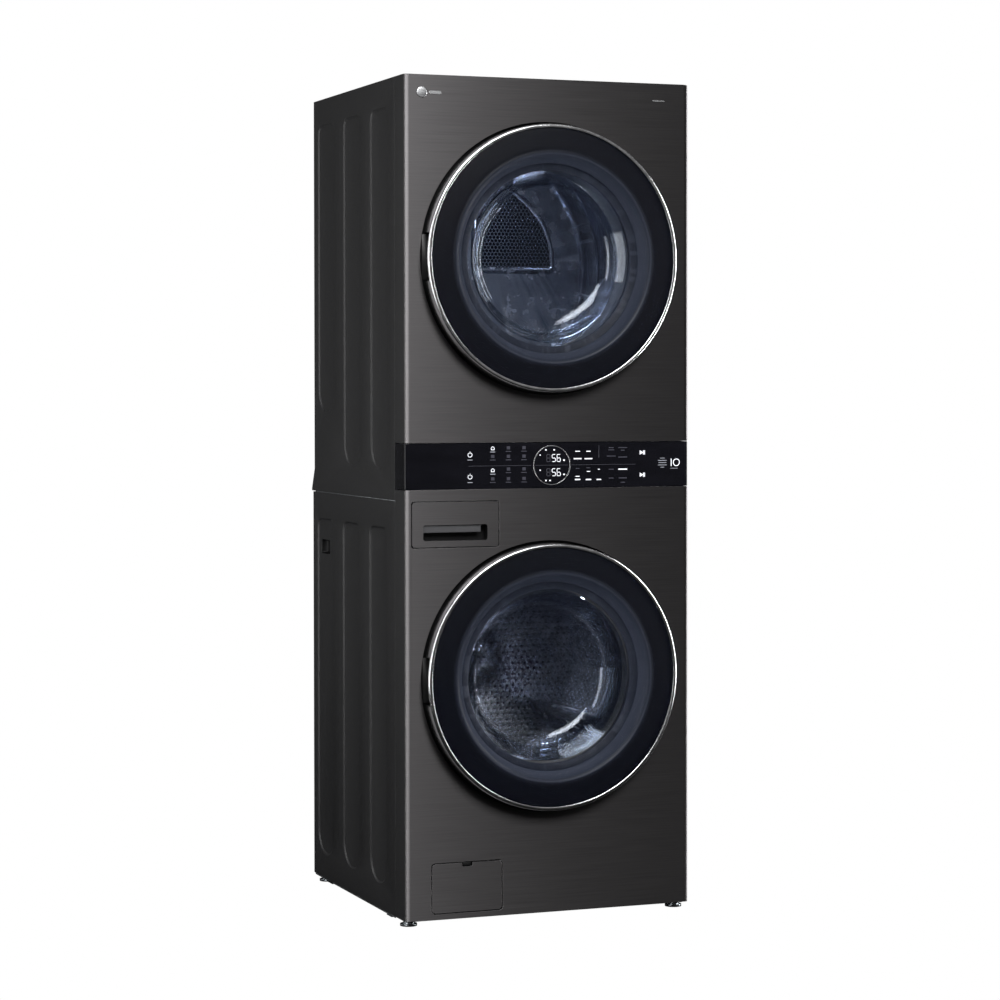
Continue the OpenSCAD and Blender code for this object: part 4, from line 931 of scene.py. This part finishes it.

# %% [markdown]
# ## Finishes for the parts that keep their shape
# Every other measured part stays as it is. It gets its finish and merged corners, and all but the glass
# and the springs get a fine bevel, so that their edges catch the light as pressed or moulded edges do.

# %% Finishes by part
FINISHES = {
    zinc_steel: "base_frame washer_back_panel dryer_back_panel mid_frame tub_springs "
                "front_bulkhead exhaust_duct motor_shaft washer_door_hardware dryer_door_hardware",
    foot_steel: "foot_front_left foot_front_right foot_rear_left foot_rear_right",
    top_paint: "top_panel",
    # near black; on the door surrounds it is painted shade for the shadowed recess round each door
    black_plastic_and_painted_shade: "washer_door_surround dryer_door_surround control_housing door_locks "
                  "filter_cap drain_pump tub_dampers",
    board_green: "control_board",
    white_plastic: "drawer_tray drawer_housing blower_housing rear_connections power_cover",
    hinge_steel: "door_hinge_brackets",
    tinted_glass: "washer_door_glass dryer_door_glass",
    bowl_glass: "washer_door_bowl dryer_door_bowl",
    grey_plastic: "tub_front tub_rear lint_filter",
    cast_weight: "counterweights",
    seal_rubber: "door_gasket",
    washer_steel: "washer_drum",
    plain_steel: "drum_lifters rear_bulkhead dryer_baffles",
    dryer_steel: "dryer_drum",
    alloy: "drum_spider",
    copper_winding: "motor_stator",
    belt_rubber: "drum_belt",
    motor_paint: "dryer_motor",
}
GLASS = "washer_door_glass dryer_door_glass washer_door_bowl dryer_door_bowl".split()
replaced = ("washer_front_panel dryer_front_panel control_fascia drawer_front filter_cover "
            "washer_side_left washer_side_right dryer_side_left dryer_side_right "
            "washer_door_frame dryer_door_frame washer_door_rim dryer_door_rim").split()
for material, parts in FINISHES.items():
    for part in parts.split():
        piece = NODES[part]
        piece.data.materials.clear()
        piece.data.materials.append(material)
        piece.data.shade_smooth()
        merge = piece.modifiers.new("merged corners", "WELD")
        merge.merge_threshold = 0.01 * MM
        if part not in GLASS and part != "tub_springs":
            edge = piece.modifiers.new("soft edges", "BEVEL")
            edge.width = 0.3 * MM
            edge.segments = 2
            edge.limit_method = "ANGLE"
            edge.angle_limit = math.radians(40)
            edge.harden_normals = True
        else:
            piece.modifiers.new("crisp rim", "EDGE_SPLIT").split_angle = math.radians(35)
            piece.modifiers.new("even shading", "WEIGHTED_NORMAL").keep_sharp = True
finished = " ".join(FINISHES.values()).split()
missing = [n for n in NODES if n not in replaced and n not in finished]
print("parts without a finish:", missing)

# %% [markdown]
# ## Floor and light
# A pale floor, a bright room seen only by the camera, and soft boxes: a broad one high in front whose
# edge fades across the fronts, and three tall ones, two at the left and one at the right, that draw the
# bright lines down the round corners. A small lamp sits in each drum, as in the real machine.

# %% Floor
bm = bmesh.new()
bmesh.ops.create_circle(bm, cap_ends=True, segments=96, radius=5.0)
mesh = bpy.data.meshes.new("floor")
bm.to_mesh(mesh)
bm.free()
floor = bpy.data.objects.new("floor", mesh)
bpy.context.scene.collection.objects.link(floor)
paper = finish("floor_paper_white", "#f4f4f4", 0.9)
tree = paper.node_tree
seen = node(tree, "ShaderNodeLightPath")
white = node(tree, "ShaderNodeEmission", values={"Color": (1, 1, 1, 1), "Strength": 1.0})
mirrored = node(tree, "ShaderNodeMixShader", {0: seen.outputs["Is Glossy Ray"],
                                              1: tree.nodes["Principled BSDF"].outputs[0]})
mix = node(tree, "ShaderNodeMixShader", {0: seen.outputs["Is Camera Ray"], 1: mirrored.outputs[0],
                                         2: white.outputs[0]})
tree.links.new(mix.outputs[0], tree.nodes["Material Output"].inputs["Surface"])
mesh.materials.append(paper)

# %% Room and lamps
world = bpy.data.worlds.new("room")
bpy.context.scene.world = world
world.use_nodes = True
tree = world.node_tree
background = tree.nodes["Background"]
seen = node(tree, "ShaderNodeLightPath")
dull = node(tree, "ShaderNodeMapRange", {"Value": seen.outputs["Is Camera Ray"]},
            {"To Min": 0.06, "To Max": 1.0})
background.inputs["Color"].default_value = (1, 1, 1, 1)
tree.links.new(dull.outputs["Result"], background.inputs["Strength"])


def soft_box(name, place, target, width, height, watts, colour="#ffffff"):
    light = bpy.data.lights.new(name, "AREA")
    light.shape = "RECTANGLE"
    light.size, light.size_y, light.energy = width, height, watts
    light.color = linear(colour)[:3]
    holder = bpy.data.objects.new(name, light)
    bpy.context.scene.collection.objects.link(holder)
    holder.location = place
    way = Vector(target) - Vector(place)
    holder.rotation_euler = way.to_track_quat("-Z", "Y").to_euler()
    holder.visible_camera = False
    return holder


soft_box("high_front", (-0.8, -6.0, 5.2), (-0.3, -0.3, 1.0), 4.9, 3.0, 750)
soft_box("front_left", (-3.05, -1.75, 1.3), (-0.3, -0.3, 1.0), 0.8, 3.2, 66)
soft_box("tall_left", (-2.8, 1.3, 1.2), (-0.3, -0.1, 1.0), 0.6, 2.8, 20)
soft_box("tall_right", (2.6, -0.9, 1.2), (0.3, -0.3, 1.0), 0.6, 2.8, 110)
for word, centre, aim, drop, watts in (("washer", WASHER, (0.05, 0.1), 120, 0.9),
                                       ("dryer", DRYER, (0.1, 0.15), 60, 1.9)):
    soft_box(word + "_lamp", (0.05, (FRONT + 96) * MM, (centre + 175) * MM),
             (*aim, (centre - drop) * MM), 0.16, 0.03, watts, "#dfe8ff")
